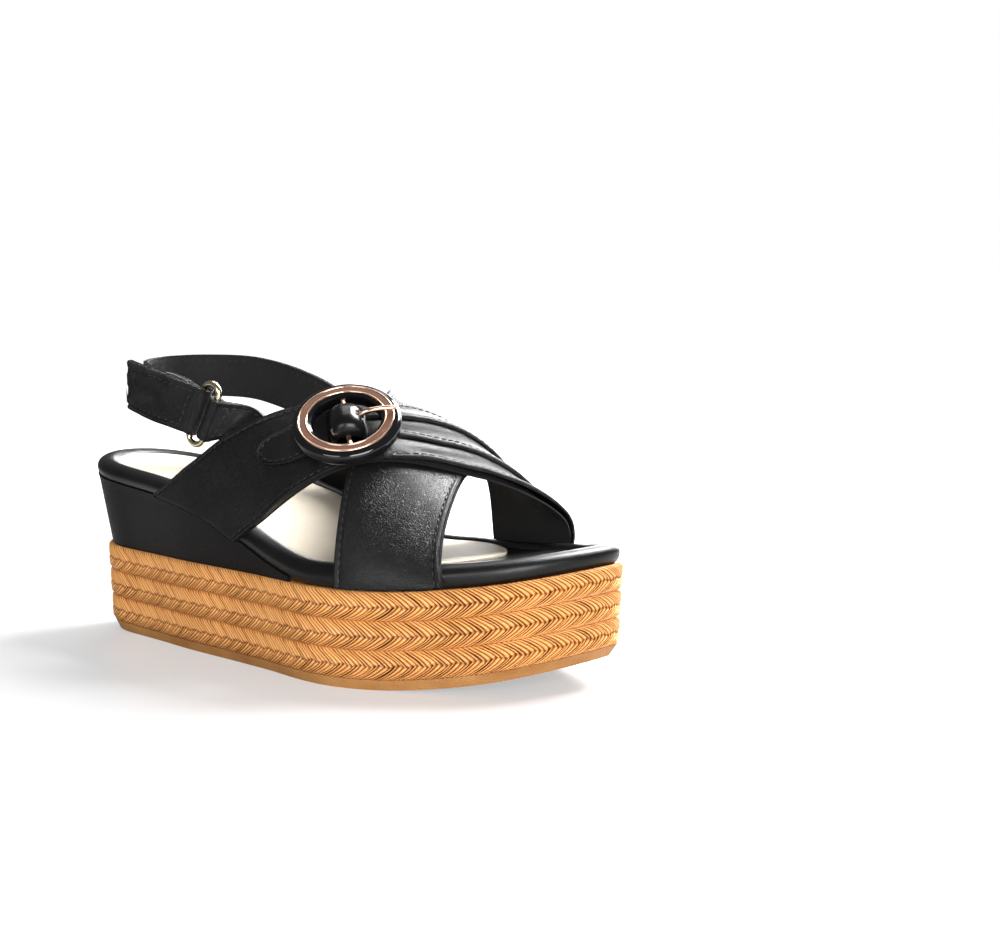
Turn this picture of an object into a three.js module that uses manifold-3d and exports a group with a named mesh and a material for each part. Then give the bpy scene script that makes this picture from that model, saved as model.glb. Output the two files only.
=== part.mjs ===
// Wedge sandal for the right foot: a platform and heel wedge wrapped in three rows of rope, a padded
// footbed, two straps that cross over the instep under a ring buckle, and a heel sling that closes with
// a hook-and-loop tail through an oval ring.
// Millimetres. x runs from the heel to the toe, y towards the inner side of the foot, z up.
import * as THREE from "three";
import { mergeVertices } from "three/addons/utils/BufferGeometryUtils.js";
import Module from "manifold-3d";

const { lerp, clamp, smoothstep } = THREE.MathUtils;

// ---- Driving dimensions ----
const SOLE_LENGTH = 240;
const SOLE_WIDTH = 96.4;
const OUTSOLE = 4;
const ROPE_ROW = 10.8;
const ROPE_ROWS = 3;
const HEEL_HEIGHT = 65.5; // ground to the wedge's top line at the heel
const TOE_SPRING = 8; // how far the platform's top rises at the toe
const TOE_SQUEEZE = 2.6; // how much thinner the platform is at the toe
const HEEL_SPRING = 2.6;
const WEDGE_TIP = 0.6; // thickness that the wedge runs out to under the ball of the foot
const WEDGE_DRAFT = 0.19; // how far the wedge leans out for each millimetre of height above the rope
const ROPE_DEPTH = 4.2;
const COVER_LEATHER = 1.2;
const HEEL_EDGE = 7; // height of the footbed's rolled edge at the heel
const BALL_EDGE = 8.2; // and at the ball of the foot
const BOARD = 1.3;
const SKIN = 0.8;
const SOCK = 0.9;
const STRAP_LEATHER = 1.2;
const STRAP_LINING = 0.8;
const PLEAT_STEP = 1.2; // how far each pleat's folded edge stands above the next pleat
const RING_RADIUS = 20.5; // buckle ring, outside
const RING_THICK = 5.5;
const RING_HOLE = 13;
const BAR_RADIUS = 1.2;
const PRONG_RADIUS = 1;
const LOOP_WIDTH = 13;
const SLING_WIDTH = 17.5;
const SLING_LEATHER = 1.2;
const SLING_LINING = 0.8;
const TAIL_LENGTH = 35;
const TAIL_LEATHER = 1.8;
const PATCH = 0.8; // each half of the hook-and-loop pair
const OVAL_STRAIGHT = 18; // straight side of the oval sling ring
const OVAL_RADIUS = 4; // its rounded ends, to the middle of the wire
const WIRE_RADIUS = 1.3;
const FIT = 0.3; // clearance between pieces that touch
const LAYER_FIT = 0.2; // clearance between stacked layers
const LOOP_SLACK = 0.6; // clearance of a leather loop round a bar

const wasm = await Module();
wasm.setup();

// ---- Curves that give the sandal its shape ----

// A smooth value along the sole: a cubic through [share of the length, value] pairs.
function along(pairs) {
  const slope = pairs.map((pair, i) => {
    const before = pairs[Math.max(i - 1, 0)];
    const after = pairs[Math.min(i + 1, pairs.length - 1)];
    return (after[1] - before[1]) / (after[0] - before[0]);
  });
  return (x) => {
    const share = clamp(x / SOLE_LENGTH, 0, 1);
    const next = pairs.findIndex((pair) => pair[0] >= share);
    const i = Math.max(next - 1, 0);
    const width = pairs[i + 1][0] - pairs[i][0];
    const s = (share - pairs[i][0]) / width;
    const bend = width * s * (1 - s) * (slope[i] * (1 - s) - slope[i + 1] * s);
    return pairs[i][1] * (1 + 2 * s) * (1 - s) ** 2 + pairs[i + 1][1] * s * s * (3 - 2 * s) + bend;
  };
}

// The outline is an ellipse whose fullness and middle line change from heel to toe, in half widths.
const HALF = SOLE_WIDTH / 2;
const fullness = along([
  [0, 1.2],
  [0.032, 1.12],
  [0.13, 0.82],
  [0.3, 0.74],
  [0.48, 0.82],
  [0.665, 1.05],
  [0.83, 1.04],
  [0.94, 1.09],
  [1, 1.12],
]);
const middle = along([
  [0, 0.02],
  [0.13, 0.02],
  [0.3, -0.06],
  [0.48, -0.1],
  [0.665, -0.11],
  [0.83, -0.04],
  [0.94, 0.06],
  [1, 0.24],
]);

// Platform top, and the wedge's top line above it, which runs down to meet it.
const PLATFORM = OUTSOLE + ROPE_ROWS * ROPE_ROW;
const WEDGE = HEEL_HEIGHT - PLATFORM;
const WEDGE_THIN = WEDGE_TIP / WEDGE;
const wedgeShare = along([
  [0, 1],
  [0.11, 0.94],
  [0.28, 0.81],
  [0.385, 0.61],
  [0.45, 0.4],
  [0.52, 0.18],
  [0.6, 1.5 * WEDGE_THIN],
  [0.68, WEDGE_THIN],
  [1, WEDGE_THIN],
]);
const edgeHeight = along([
  [0, HEEL_EDGE],
  [0.25, HEEL_EDGE],
  [0.6, BALL_EDGE],
  [0.85, BALL_EDGE],
  [1, BALL_EDGE - 1],
]);

// Height of a level of the platform, which lies flat on the ground and lifts at the toe and the heel.
function lifted(x, level) {
  const toe = Math.max(x / SOLE_LENGTH - 0.71, 0) / 0.29;
  const heel = Math.max(0.14 - x / SOLE_LENGTH, 0) / 0.14;
  const squeeze = TOE_SQUEEZE * (1 - level / PLATFORM);
  return level + (TOE_SPRING + squeeze) * toe ** 2 + HEEL_SPRING * heel ** 2;
}

const platformTop = (x) => lifted(x, PLATFORM);
const wedgeRise = (x) => WEDGE * wedgeShare(x);
const seat = (x) => platformTop(x) + wedgeRise(x);
const flare = (x) => WEDGE_DRAFT * wedgeRise(x);

// A point of the outline. turn is 0 at the heel, a quarter turn on the outer side and half a turn at the
// toe. A positive inset lies inside the outline.
function outline(turn, inset) {
  const at = (angle) => {
    const x = (SOLE_LENGTH / 2) * (1 - Math.cos(angle));
    return new THREE.Vector2(x, HALF * (middle(x) - fullness(x) * Math.sin(angle)));
  };
  const step = 0.001;
  const way = at(turn + step).sub(at(turn - step)).normalize();
  const point = at(turn);
  return new THREE.Vector2(point.x - way.y * inset, point.y + way.x * inset);
}

// ---- Ways of making a piece ----

// Moves every point of a geometry: shape(u, v, w) gives the new place of a point of the unit box.
function reshape(geometry, shape) {
  const places = geometry.attributes.position;
  for (let i = 0; i < places.count; i += 1) {
    const p = shape(places.getX(i) + 0.5, places.getY(i) + 0.5, places.getZ(i) + 0.5);
    places.setXYZ(i, p.x, p.y, p.z);
  }
  geometry.computeVertexNormals();
  return geometry;
}

// Every piece of the sole has its corners at the same stations round the outline, so that they nest.
const STATIONS = 44;
const STATION = (2 * Math.PI) / STATIONS;

// A flat layer of the sole, from the first station to the last. inset, bottom and top are functions of x,
// and the inset also of w, which is 0 below and 1 above.
function layer({ inset, bottom, top, last = STATIONS / 2 - 1, narrow = () => 1 }) {
  return reshape(new THREE.BoxGeometry(1, 1, 1, last - 1, 4, 1), (u, v, w) => {
    const turn = lerp(STATION, last * STATION, u);
    const x = outline(turn, 0).x;
    const outer = outline(turn, inset(x, w));
    const inner = outline(-turn, inset(x, w));
    const share = 0.5 + (v - 0.5) * narrow(x);
    const px = lerp(outer.x, inner.x, share);
    return new THREE.Vector3(px, lerp(outer.y, inner.y, share), lerp(bottom(px), top(px), w));
  });
}

// A ring round the whole sole. section(x) lists [inset, z] corners, anticlockwise seen from behind.
function ringRound(section) {
  const corners = section(0).length;
  const geometry = new THREE.TorusGeometry(2, 1, corners, STATIONS);
  const { position, uv } = geometry.attributes;
  for (let i = 0; i < position.count; i += 1) {
    const turn = uv.getX(i) * 2 * Math.PI;
    const corner = Math.round(uv.getY(i) * corners) % corners;
    const [inset] = section(outline(turn, 0).x)[corner];
    const p = outline(turn, inset);
    const [, z] = section(p.x)[corner];
    position.setXYZ(i, p.x, p.y, z);
  }
  geometry.computeVertexNormals();
  return geometry;
}

// A ribbon between a low and a high edge, each a curve through points, from one face offset to another.
// Its outside is on the right of its way forward.
function ribbon({ low, high, inside, outside, steps = 24, from = 0, to = 1 }) {
  const lowEdge = new THREE.CatmullRomCurve3(low);
  const highEdge = new THREE.CatmullRomCurve3(high);
  return reshape(new THREE.BoxGeometry(1, 1, 1, steps, 2, 1), (u, v, w) => {
    const s = lerp(from, to, u);
    const up = highEdge.getPoint(s).sub(lowEdge.getPoint(s));
    const way = lowEdge.getTangent(s).lerp(highEdge.getTangent(s), v);
    const out = way.cross(up).normalize();
    return lowEdge.getPoint(s).addScaledVector(up, v).addScaledVector(out, lerp(inside, outside, w));
  });
}

function solidOf(geometry) {
  const bare = new THREE.BufferGeometry();
  const source = geometry.index ? geometry.toNonIndexed() : geometry;
  bare.setAttribute("position", source.attributes.position);
  const merged = mergeVertices(bare, 1e-4);
  const mesh = new wasm.Mesh({
    numProp: 3,
    vertProperties: merged.attributes.position.array,
    triVerts: new Uint32Array(merged.index.array),
  });
  return new wasm.Manifold(mesh);
}

function geometryOf(solid) {
  const mesh = solid.getMesh();
  const geometry = new THREE.BufferGeometry();
  geometry.setAttribute("position", new THREE.BufferAttribute(new Float32Array(mesh.vertProperties), 3));
  geometry.setIndex(new THREE.BufferAttribute(new Uint32Array(mesh.triVerts), 1));
  geometry.computeVertexNormals();
  return geometry;
}

// ---- Materials ----
const finish = (color, roughness, metalness = 0) =>
  new THREE.MeshStandardMaterial({ color, roughness, metalness });
const blackLeather = finish(0x141416, 0.45);
const blackLining = finish(0x1c1c1e, 0.7);
const wedgeLeather = finish(0x101012, 0.6);
const beigeLeather = finish(0xd9cbb4, 0.6);
const ropeTan = finish(0xc98d4b, 0.7);
const tanRubber = finish(0xb87f45, 0.6);
const board = finish(0x8a6f4e, 0.9);
const foam = finish(0xb5b0a6, 0.95);
const core = finish(0x6e6a66, 0.95);
const blackGloss = finish(0x0a0a0b, 0.12);
const roseGold = finish(0xd9a27e, 0.2, 1);
const paleGold = finish(0xe3cf94, 0.2, 1);
const taupe = finish(0x5c3e33, 0.3);
const hookTape = finish(0x202022, 0.95);

const sandal = new THREE.Group();

function add(name, geometry, material, parent = sandal) {
  const mesh = new THREE.Mesh(geometry, material);
  mesh.name = name;
  parent.add(mesh);
}

// ---- Sole ----
const ROPE_BACK = ROPE_DEPTH + FIT;
const OUTSOLE_INSET = 2.5;

add(
  "outsole",
  layer({
    inset: (x, share) => lerp(OUTSOLE_INSET, 1, share),
    bottom: (x) => lifted(x, 0),
    top: (x) => lifted(x, OUTSOLE),
  }),
  tanRubber,
);

add(
  "platform_core",
  layer({
    inset: () => ROPE_BACK,
    bottom: (x) => lifted(x, OUTSOLE) + LAYER_FIT,
    top: (x) => platformTop(x) - LAYER_FIT,
  }),
  core,
);

// Each row of rope is a bulging band, and each stands a little further out than the one below.
const ROW_LEAN = 0.5;
["rope_row_bottom", "rope_row_middle", "rope_row_top"].forEach((name, row) => {
  const bulge = 1.1;
  const lean = row * ROW_LEAN;
  add(
    name,
    ringRound((x) => {
      const low = lifted(x, OUTSOLE + row * ROPE_ROW) + LAYER_FIT;
      const high = lifted(x, OUTSOLE + (row + 1) * ROPE_ROW) - LAYER_FIT;
      return [
        [bulge - lean, low],
        [-lean, lerp(low, high, 0.3)],
        [-lean, lerp(low, high, 0.7)],
        [bulge - lean, high],
        [ROPE_DEPTH, high],
        [ROPE_DEPTH, low],
      ];
    }),
    ropeTan,
  );
});

// ---- Wedge ----
const WEDGE_LAST = 12; // station where the wedge meets the platform
const coverInset = (x, share) => 0.5 - share * flare(x);

add(
  "heel_wedge",
  layer({
    inset: (x, share) => coverInset(x, share) + COVER_LEATHER + FIT,
    bottom: (x) => platformTop(x) + LAYER_FIT,
    top: seat,
    last: WEDGE_LAST,
  }),
  core,
);

add(
  "wedge_cover",
  reshape(new THREE.BoxGeometry(1, 1, 1, 2 * WEDGE_LAST, 1, 1), (u, v, w) => {
    const turn = lerp(-WEDGE_LAST, WEDGE_LAST, u) * STATION;
    const { x } = outline(turn, 0);
    const p = outline(turn, coverInset(x, v) + COVER_LEATHER * (1 - w));
    return new THREE.Vector3(p.x, p.y, lerp(platformTop(p.x) + LAYER_FIT, seat(p.x), v));
  }),
  wedgeLeather,
);

// ---- Footbed ----
const EDGE_ROLL = 8.5; // width of the rolled edge
const BOARD_INSET = 4.5;
const boardTop = (x) => seat(x) + FIT + BOARD;
const sockTop = (x) => seat(x) + 0.84 * edgeHeight(x);
const skinTop = (x) => sockTop(x) - SOCK - LAYER_FIT;
const foamTop = (x) => skinTop(x) - SKIN - LAYER_FIT;

add(
  "insole_board",
  layer({
    inset: (x) => BOARD_INSET - flare(x),
    bottom: (x) => seat(x) + FIT,
    top: boardTop,
  }),
  board,
);

add(
  "footbed_foam",
  layer({
    inset: (x) => EDGE_ROLL + 2 * FIT - flare(x),
    bottom: (x) => boardTop(x) + LAYER_FIT,
    top: foamTop,
  }),
  foam,
);

add(
  "footbed_skin",
  layer({
    inset: (x) => EDGE_ROLL + FIT - flare(x),
    bottom: (x) => foamTop(x) + LAYER_FIT,
    top: skinTop,
  }),
  blackLeather,
);

// The sock lining ends in an oval behind the toes, where the black footbed shows.
const SOCK_LAST = 16; // station at its tip
const SOCK_END = (1 - Math.cos(SOCK_LAST * STATION)) / 2;
const SOCK_ROUND = 0.14;
add(
  "sock_lining",
  layer({
    inset: (x) => EDGE_ROLL + FIT - flare(x),
    bottom: (x) => skinTop(x) + LAYER_FIT,
    top: sockTop,
    last: SOCK_LAST,
    narrow: (x) => {
      const past = Math.max(x / SOLE_LENGTH - (SOCK_END - SOCK_ROUND), 0) / SOCK_ROUND;
      return Math.sqrt(Math.max(1 - past ** 2, 0.01));
    },
  }),
  beigeLeather,
);

add(
  "footbed_edge",
  ringRound((x) => {
    const out = -flare(x);
    const low = seat(x) + FIT;
    const high = edgeHeight(x);
    const inner = boardTop(x) + LAYER_FIT;
    return [
      [out + 1.2, low],
      [out + 0.5, low + 0.4 * high],
      [out + 2.1, low + 0.74 * high],
      [out + 5.3, seat(x) + high],
      [out + EDGE_ROLL, sockTop(x)],
      [out + EDGE_ROLL, inner],
      [out + BOARD_INSET - FIT, inner],
      [out + BOARD_INSET - FIT, low],
    ];
  }),
  blackLeather,
);

// ---- The arch over the foot that both straps lie on ----
const ARCH_LIFT = 0.6;
const ARCH_REACH = 1.3; // straps pass this far outside the footbed's edge
const ARCH_LEAN = 7.1; // the instep's crown lies towards the inner side
const archRise = along([
  [0, 30],
  [0.167, 44],
  [0.333, 66],
  [0.5, 67],
  [0.667, 51.2],
  [0.833, 23],
  [1, 6],
]);
const halfBreadth = (x) => HALF * fullness(x) * Math.sqrt(Math.max(1 - (1 - (2 * x) / SOLE_LENGTH) ** 2, 0));

// t runs from -1 at the outer side to 1 at the inner side, and lift is the distance above the arch.
function archPoint(x, t, lift) {
  const angle = (Math.PI * (t + 1)) / 2;
  const level = Math.sign(t) * Math.abs(Math.cos(angle)) ** 0.85;
  const rise = Math.abs(Math.sin(angle)) ** 0.95;
  const slant = Math.hypot(1, halfBreadth(x + 0.5) - halfBreadth(x - 0.5));
  const side = halfBreadth(x) + (flare(x) + ARCH_REACH) * slant;
  const y = HALF * middle(x) + level * (side + lift) + rise * ARCH_LEAN;
  return new THREE.Vector3(x, y, seat(x) + ARCH_LIFT + rise * (archRise(x) + lift));
}

// A strap's edge: x along the arch, as a Bezier curve through four shares of the length.
const strapEdge = (shares) => {
  const curve = new THREE.CubicBezierCurve(...shares.map((x) => new THREE.Vector2(x * SOLE_LENGTH, 0)));
  return (t) => curve.getPoint((t + 1) / 2).x;
};
const crossRear = strapEdge([0.231, 0.685, 0.649, 0.684]);
const crossFront = strapEdge([0.452, 0.756, 0.885, 0.845]);
const underRear = strapEdge([0.687, 0.661, 0.575, 0.284]);
const underFront = strapEdge([0.843, 0.8, 0.767, 0.493]);

// A band on the arch between two edges. lift(t, v) is its underside, v running from the rear edge to the
// front edge, and thick its thickness.
function band({ rear, front, from = -1, to = 1, lift, thick, steps = 24, across = 4 }) {
  return reshape(new THREE.BoxGeometry(1, 1, 1, across, steps, 1), (u, v, w) => {
    const t = lerp(from, to, v);
    return archPoint(lerp(rear(t), front(t), u), t, lift(t, u) + thick * w);
  });
}

const GLUE_LINE = 0.5; // between a strap's leather and its lining
const STRAP_STACK = STRAP_LINING + GLUE_LINE + STRAP_LEATHER;
add(
  "under_strap_lining",
  band({ rear: underRear, front: underFront, lift: () => 0, thick: STRAP_LINING }),
  blackLining,
);
add(
  "under_strap",
  band({ rear: underRear, front: underFront, lift: () => STRAP_LINING + GLUE_LINE, thick: STRAP_LEATHER }),
  blackLeather,
);

// The cross strap rides over the under strap where they cross.
const ride = (t) => (STRAP_STACK + GLUE_LINE) * (1 - smoothstep(Math.abs(t), 0.55, 0.9));
const PANEL_END = -0.34; // the plain outer panel ends under the buckle, where the pleats begin
add(
  "cross_strap_lining",
  band({ rear: crossRear, front: crossFront, lift: ride, thick: STRAP_LINING }),
  blackLining,
);
const upperLift = (t) => ride(t) + STRAP_LINING + GLUE_LINE;
add(
  "quarter_panel",
  band({
    rear: crossRear,
    front: crossFront,
    to: PANEL_END,
    lift: upperLift,
    thick: STRAP_LEATHER,
    steps: 14,
  }),
  blackLeather,
);

const PLEAT_START = PANEL_END + 0.01;
const PLEAT_SHARES = [0, 0.33, 0.66, 1];
["pleat_rear", "pleat_middle", "pleat_front"].forEach((name, i) => {
  const between = (share) => (t) => lerp(crossRear(t), crossFront(t), share);
  const hem = FIT / SOLE_LENGTH; // pleats lie side by side with a small gap
  const start = PLEAT_SHARES[i] + (i > 0 ? hem * 12 : 0);
  add(
    name,
    band({
      rear: between(start),
      front: between(PLEAT_SHARES[i + 1]),
      from: PLEAT_START,
      lift: (t, u) => upperLift(t) + PLEAT_STEP * u * smoothstep(t, PLEAT_START, 0),
      thick: STRAP_LEATHER,
      steps: 18,
      across: 2,
    }),
    blackLeather,
  );
});

// ---- Buckle tab: a stitched tongue on the outer panel, running under the buckle ----
const TAB_WIDTH = 17;
const TAB_START = -0.68;
const TAB_END = -0.49;
const crossMiddle = (t) => (crossRear(t) + crossFront(t)) / 2;
const tabHalf = (t) => (TAB_WIDTH / 2) * Math.sqrt(1 - (1 - clamp((t - TAB_START + 0.004) / 0.1, 0, 1)) ** 2);
add(
  "buckle_tab",
  band({
    rear: (t) => crossMiddle(t) - tabHalf(t),
    front: (t) => crossMiddle(t) + tabHalf(t),
    from: TAB_START,
    to: TAB_END,
    lift: (t) => upperLift(t) + STRAP_LEATHER + FIT,
    thick: STRAP_LEATHER,
    steps: 10,
  }),
  blackLeather,
);

// ---- Buckle, in a frame of its own: x along the strap, y along the bar, z away from the foot ----
const BUCKLE_T = -0.345;
const BUCKLE_LIFT = 6.6; // underside of the ring above the arch
const buckle = new THREE.Group();
const strapWay = archPoint(crossMiddle(BUCKLE_T + 0.02), BUCKLE_T + 0.02, 0)
  .sub(archPoint(crossMiddle(BUCKLE_T - 0.02), BUCKLE_T - 0.02, 0))
  .normalize();
const lengthWay = archPoint(crossMiddle(BUCKLE_T) + 1, BUCKLE_T, 0)
  .sub(archPoint(crossMiddle(BUCKLE_T) - 1, BUCKLE_T, 0));
const faceWay = lengthWay.cross(strapWay).normalize();
const barWay = faceWay.clone().cross(strapWay);
buckle.setRotationFromMatrix(new THREE.Matrix4().makeBasis(strapWay, barWay, faceWay));
buckle.position.copy(archPoint(crossMiddle(BUCKLE_T), BUCKLE_T, 0)).addScaledVector(faceWay, BUCKLE_LIFT);
sandal.add(buckle);

// A turned ring from a closed profile of [radius, height] corners.
function turned(corners, steps = 36) {
  const profile = [...corners, corners[0]].map(([radius, height]) => new THREE.Vector2(radius, height));
  return new THREE.LatheGeometry(profile, steps).rotateX(Math.PI / 2);
}

const INLAY_IN = 14.4;
const INLAY_OUT = 18.1;
const INLAY_THICK = 1;
const INLAY_FLOOR = RING_THICK - 0.8;
add(
  "buckle_frame",
  turned([
    [RING_HOLE, 1],
    [RING_HOLE + 1, 0],
    [RING_RADIUS - 1.4, 0],
    [RING_RADIUS, 1.6],
    [RING_RADIUS, 3.9],
    [RING_RADIUS - 0.9, RING_THICK - 0.3],
    [INLAY_OUT + FIT, RING_THICK],
    [INLAY_OUT + FIT, INLAY_FLOOR],
    [INLAY_IN - FIT, INLAY_FLOOR],
    [INLAY_IN - FIT, RING_THICK - 0.1],
    [RING_HOLE, RING_THICK - 1.2],
  ]),
  blackGloss,
  buckle,
);
add(
  "buckle_inlay",
  turned([
    [INLAY_IN, INLAY_FLOOR + FIT],
    [INLAY_OUT, INLAY_FLOOR + FIT],
    [INLAY_OUT, INLAY_FLOOR + FIT + INLAY_THICK],
    [INLAY_IN, INLAY_FLOOR + FIT + INLAY_THICK],
  ]),
  taupe,
  buckle,
);

const BAR_HEIGHT = RING_THICK / 2;
add(
  "buckle_bar",
  new THREE.CylinderGeometry(BAR_RADIUS, BAR_RADIUS, 2 * (RING_HOLE - FIT), 14).translate(0, 0, BAR_HEIGHT),
  roseGold,
  buckle,
);

// The loop is a padded arch of leather over the bar, with a slot for the prong.
const EYE_RADIUS = 2.7;
const LOOP_FOOT = -0.9;
const loopShape = new THREE.Shape();
loopShape.moveTo(-8.5, LOOP_FOOT);
loopShape.lineTo(8.5, LOOP_FOOT);
loopShape.bezierCurveTo(8, 4.2, 5, 6.6, 0, 6.6);
loopShape.bezierCurveTo(-5, 6.6, -8, 4.2, -8.5, LOOP_FOOT);
const barHole = new THREE.Path().absarc(0, BAR_HEIGHT, BAR_RADIUS + LOOP_SLACK, 0, 2 * Math.PI, true);
loopShape.holes.push(barHole);
const loopBlock = new THREE.ExtrudeGeometry(loopShape, { depth: LOOP_WIDTH, bevelEnabled: false, curveSegments: 6 })
  .rotateX(Math.PI / 2)
  .translate(0, LOOP_WIDTH / 2, 0);
const slotWidth = 2 * (PRONG_RADIUS + LOOP_SLACK);
const slotLeft = -(EYE_RADIUS + LOOP_SLACK);
const slotLow = BAR_HEIGHT - EYE_RADIUS - FIT;
const slot = new THREE.BoxGeometry(20, slotWidth, 20).translate(slotLeft + 10, 0, slotLow + 10);
add("buckle_loop", geometryOf(solidOf(loopBlock).subtract(solidOf(slot))), blackLeather, buckle);

// The prong turns on the bar by its eye and rests on the far side of the ring.
const eye = turned(
  [
    [BAR_RADIUS + 0.35, -PRONG_RADIUS],
    [EYE_RADIUS, -PRONG_RADIUS],
    [EYE_RADIUS, PRONG_RADIUS],
    [BAR_RADIUS + 0.35, PRONG_RADIUS],
  ],
  18,
)
  .rotateX(Math.PI / 2)
  .translate(0, 0, BAR_HEIGHT);
const PRONG_REST = INLAY_FLOOR + INLAY_THICK + 2 * FIT + PRONG_RADIUS;
const prongPath = new THREE.CatmullRomCurve3([
  new THREE.Vector3(2.1, 0, BAR_HEIGHT),
  new THREE.Vector3(7, 0, PRONG_REST - 0.8),
  new THREE.Vector3(12, 0, PRONG_REST + 0.2),
  new THREE.Vector3(RING_RADIUS - 2.6, 0, PRONG_REST),
]);
const prongSection = new THREE.Shape().absarc(0, 0, PRONG_RADIUS, 0, 2 * Math.PI);
const rod = new THREE.ExtrudeGeometry(prongSection, {
  extrudePath: prongPath,
  steps: 8,
  curveSegments: 4,
});
add("buckle_prong", geometryOf(solidOf(eye).add(solidOf(rod))), roseGold, buckle);

// ---- Heel sling ----
const slingPoint = (x, y, rise) => new THREE.Vector3(x * SOLE_LENGTH, y * HALF, HEEL_HEIGHT + rise);

// The oval ring stands on the outer side, its long axis square to the sling.
const ovalCentre = slingPoint(0.338, -0.74, 30);
const ovalAcross = new THREE.Vector3(0.89, 0.02, -0.44).normalize();
const ovalOut = ovalAcross.clone().cross(new THREE.Vector3(0, 0, 1)).normalize();
const ovalUp = ovalOut.clone().cross(ovalAcross);
const oval = new THREE.Group();
oval.setRotationFromMatrix(new THREE.Matrix4().makeBasis(ovalAcross, ovalUp, ovalOut));
oval.position.copy(ovalCentre);
sandal.add(oval);
const ovalGeometry = new THREE.TorusGeometry(OVAL_RADIUS, WIRE_RADIUS, 8, 24);
const ovalPlaces = ovalGeometry.attributes.position;
const ovalTurn = ovalGeometry.attributes.uv;
for (let i = 0; i < ovalPlaces.count; i += 1) {
  const half = Math.sign(Math.round(1000 * Math.sin(2 * Math.PI * ovalTurn.getX(i))));
  ovalPlaces.setY(i, ovalPlaces.getY(i) + (half * OVAL_STRAIGHT) / 2);
}
add("sling_ring", ovalGeometry, paleGold, oval);

// A leather loop round one straight side of the oval ring: a tube as tall as the sling.
const LOOP_IN = WIRE_RADIUS + LOOP_SLACK;
function loopRound(side, wall, height) {
  const geometry = turned(
    [
      [LOOP_IN, -height / 2],
      [LOOP_IN + wall, -height / 2],
      [LOOP_IN + wall, height / 2],
      [LOOP_IN, height / 2],
    ],
    16,
  ).rotateX(Math.PI / 2);
  geometry.translate(side * OVAL_RADIUS, 0, 0);
  const matrix = new THREE.Matrix4().makeBasis(ovalAcross, ovalUp, ovalOut).setPosition(ovalCentre);
  return geometry.applyMatrix4(matrix);
}

// The sling's middle line, from under the inner strap round the heel to the oval ring.
const TUCK_LIFT = -1.8;
const tuckX = 0.43 * SOLE_LENGTH;
const TUCK_T = 0.61;
const ringSide = ovalCentre.clone().addScaledVector(ovalAcross, -OVAL_RADIUS - LOOP_IN);
const slingMiddle = [
  slingPoint(0.33, 0.6, 34),
  slingPoint(0.21, 0.54, 41),
  slingPoint(0.13, 0.34, 42),
  slingPoint(0.098, 0, 41.5),
  slingPoint(0.125, -0.35, 40.5),
  slingPoint(0.2, -0.6, 38.2),
  ringSide.clone().addScaledVector(ovalAcross, -8),
  ringSide,
];
const slingUps = slingMiddle.map((point, i) => {
  const way = slingMiddle[Math.min(i + 1, slingMiddle.length - 1)].clone().sub(slingMiddle[Math.max(i - 1, 0)]);
  const up = new THREE.Vector3(0, 0, 1);
  return up.addScaledVector(way, -up.dot(way) / way.lengthSq()).normalize();
});
const slingEdge = (side) => [
  archPoint(tuckX + side * 7, TUCK_T - side * 0.085, TUCK_LIFT),
  ...slingMiddle.map((point, i) => point.clone().addScaledVector(slingUps[i], (side * SLING_WIDTH) / 2)),
];
const slingLow = slingEdge(-1);
const slingHigh = slingEdge(1);
const ringLoop = loopRound(-1, SLING_LEATHER, SLING_WIDTH);
const slingBand = ribbon({ low: slingLow, high: slingHigh, inside: 0, outside: SLING_LEATHER, steps: 40 });
add("sling_strap", geometryOf(solidOf(slingBand).add(solidOf(ringLoop))), blackLeather);
add(
  "sling_lining",
  ribbon({
    low: slingLow,
    high: slingHigh,
    inside: -GLUE_LINE - SLING_LINING,
    outside: -GLUE_LINE,
    steps: 38,
    to: 0.95,
  }),
  blackLining,
);

// The tail comes back through the ring and lies along the outside of the sling, ending free.
const tailStart = ringSide.clone();
const tailEnd = slingPoint(0.146, -0.69, 42.5);
const tailWay = tailEnd.clone().sub(tailStart).normalize();
const upright = new THREE.Vector3(0, 0, 1);
const tailPoint = (distance, side, out) =>
  tailStart
    .clone()
    .addScaledVector(tailWay, distance)
    .addScaledVector(ovalUp.clone().lerp(upright, distance / TAIL_LENGTH).normalize(), (side * SLING_WIDTH) / 2)
    .addScaledVector(ovalOut, out);
const PATCH_START = 6;
const PATCH_LENGTH = 22;
const stackOut = SLING_LEATHER + FIT; // outside of the sling, where the patch is sewn on

add(
  "loop_patch",
  ribbon({
    low: slingLow,
    high: slingHigh,
    inside: stackOut,
    outside: stackOut + PATCH,
    from: 0.82,
    to: 0.93,
    steps: 8,
  }),
  hookTape,
);
const TAIL_BOW = 1; // the tail bows out over the patches
const tailEdge = (side) => [
  tailPoint(TAIL_LENGTH, side, 0),
  tailPoint(TAIL_LENGTH / 2, side, TAIL_BOW),
  tailPoint(2, side, 0),
];
const tailInside = stackOut + 2 * PATCH + 3 * FIT;
add(
  "sling_tail",
  ribbon({
    low: tailEdge(-1),
    high: tailEdge(1),
    inside: tailInside,
    outside: tailInside + TAIL_LEATHER,
    steps: 10,
  }),
  blackLeather,
);
const hookEdge = (side) => [
  tailPoint(PATCH_START + PATCH_LENGTH, side, 0.7 * TAIL_BOW),
  tailPoint(PATCH_START + PATCH_LENGTH / 2, side, TAIL_BOW),
  tailPoint(PATCH_START, side, 0.6 * TAIL_BOW),
];
add(
  "hook_patch",
  ribbon({
    low: hookEdge(-0.85),
    high: hookEdge(0.85),
    inside: tailInside - FIT - PATCH,
    outside: tailInside - FIT,
    steps: 4,
  }),
  hookTape,
);

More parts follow.
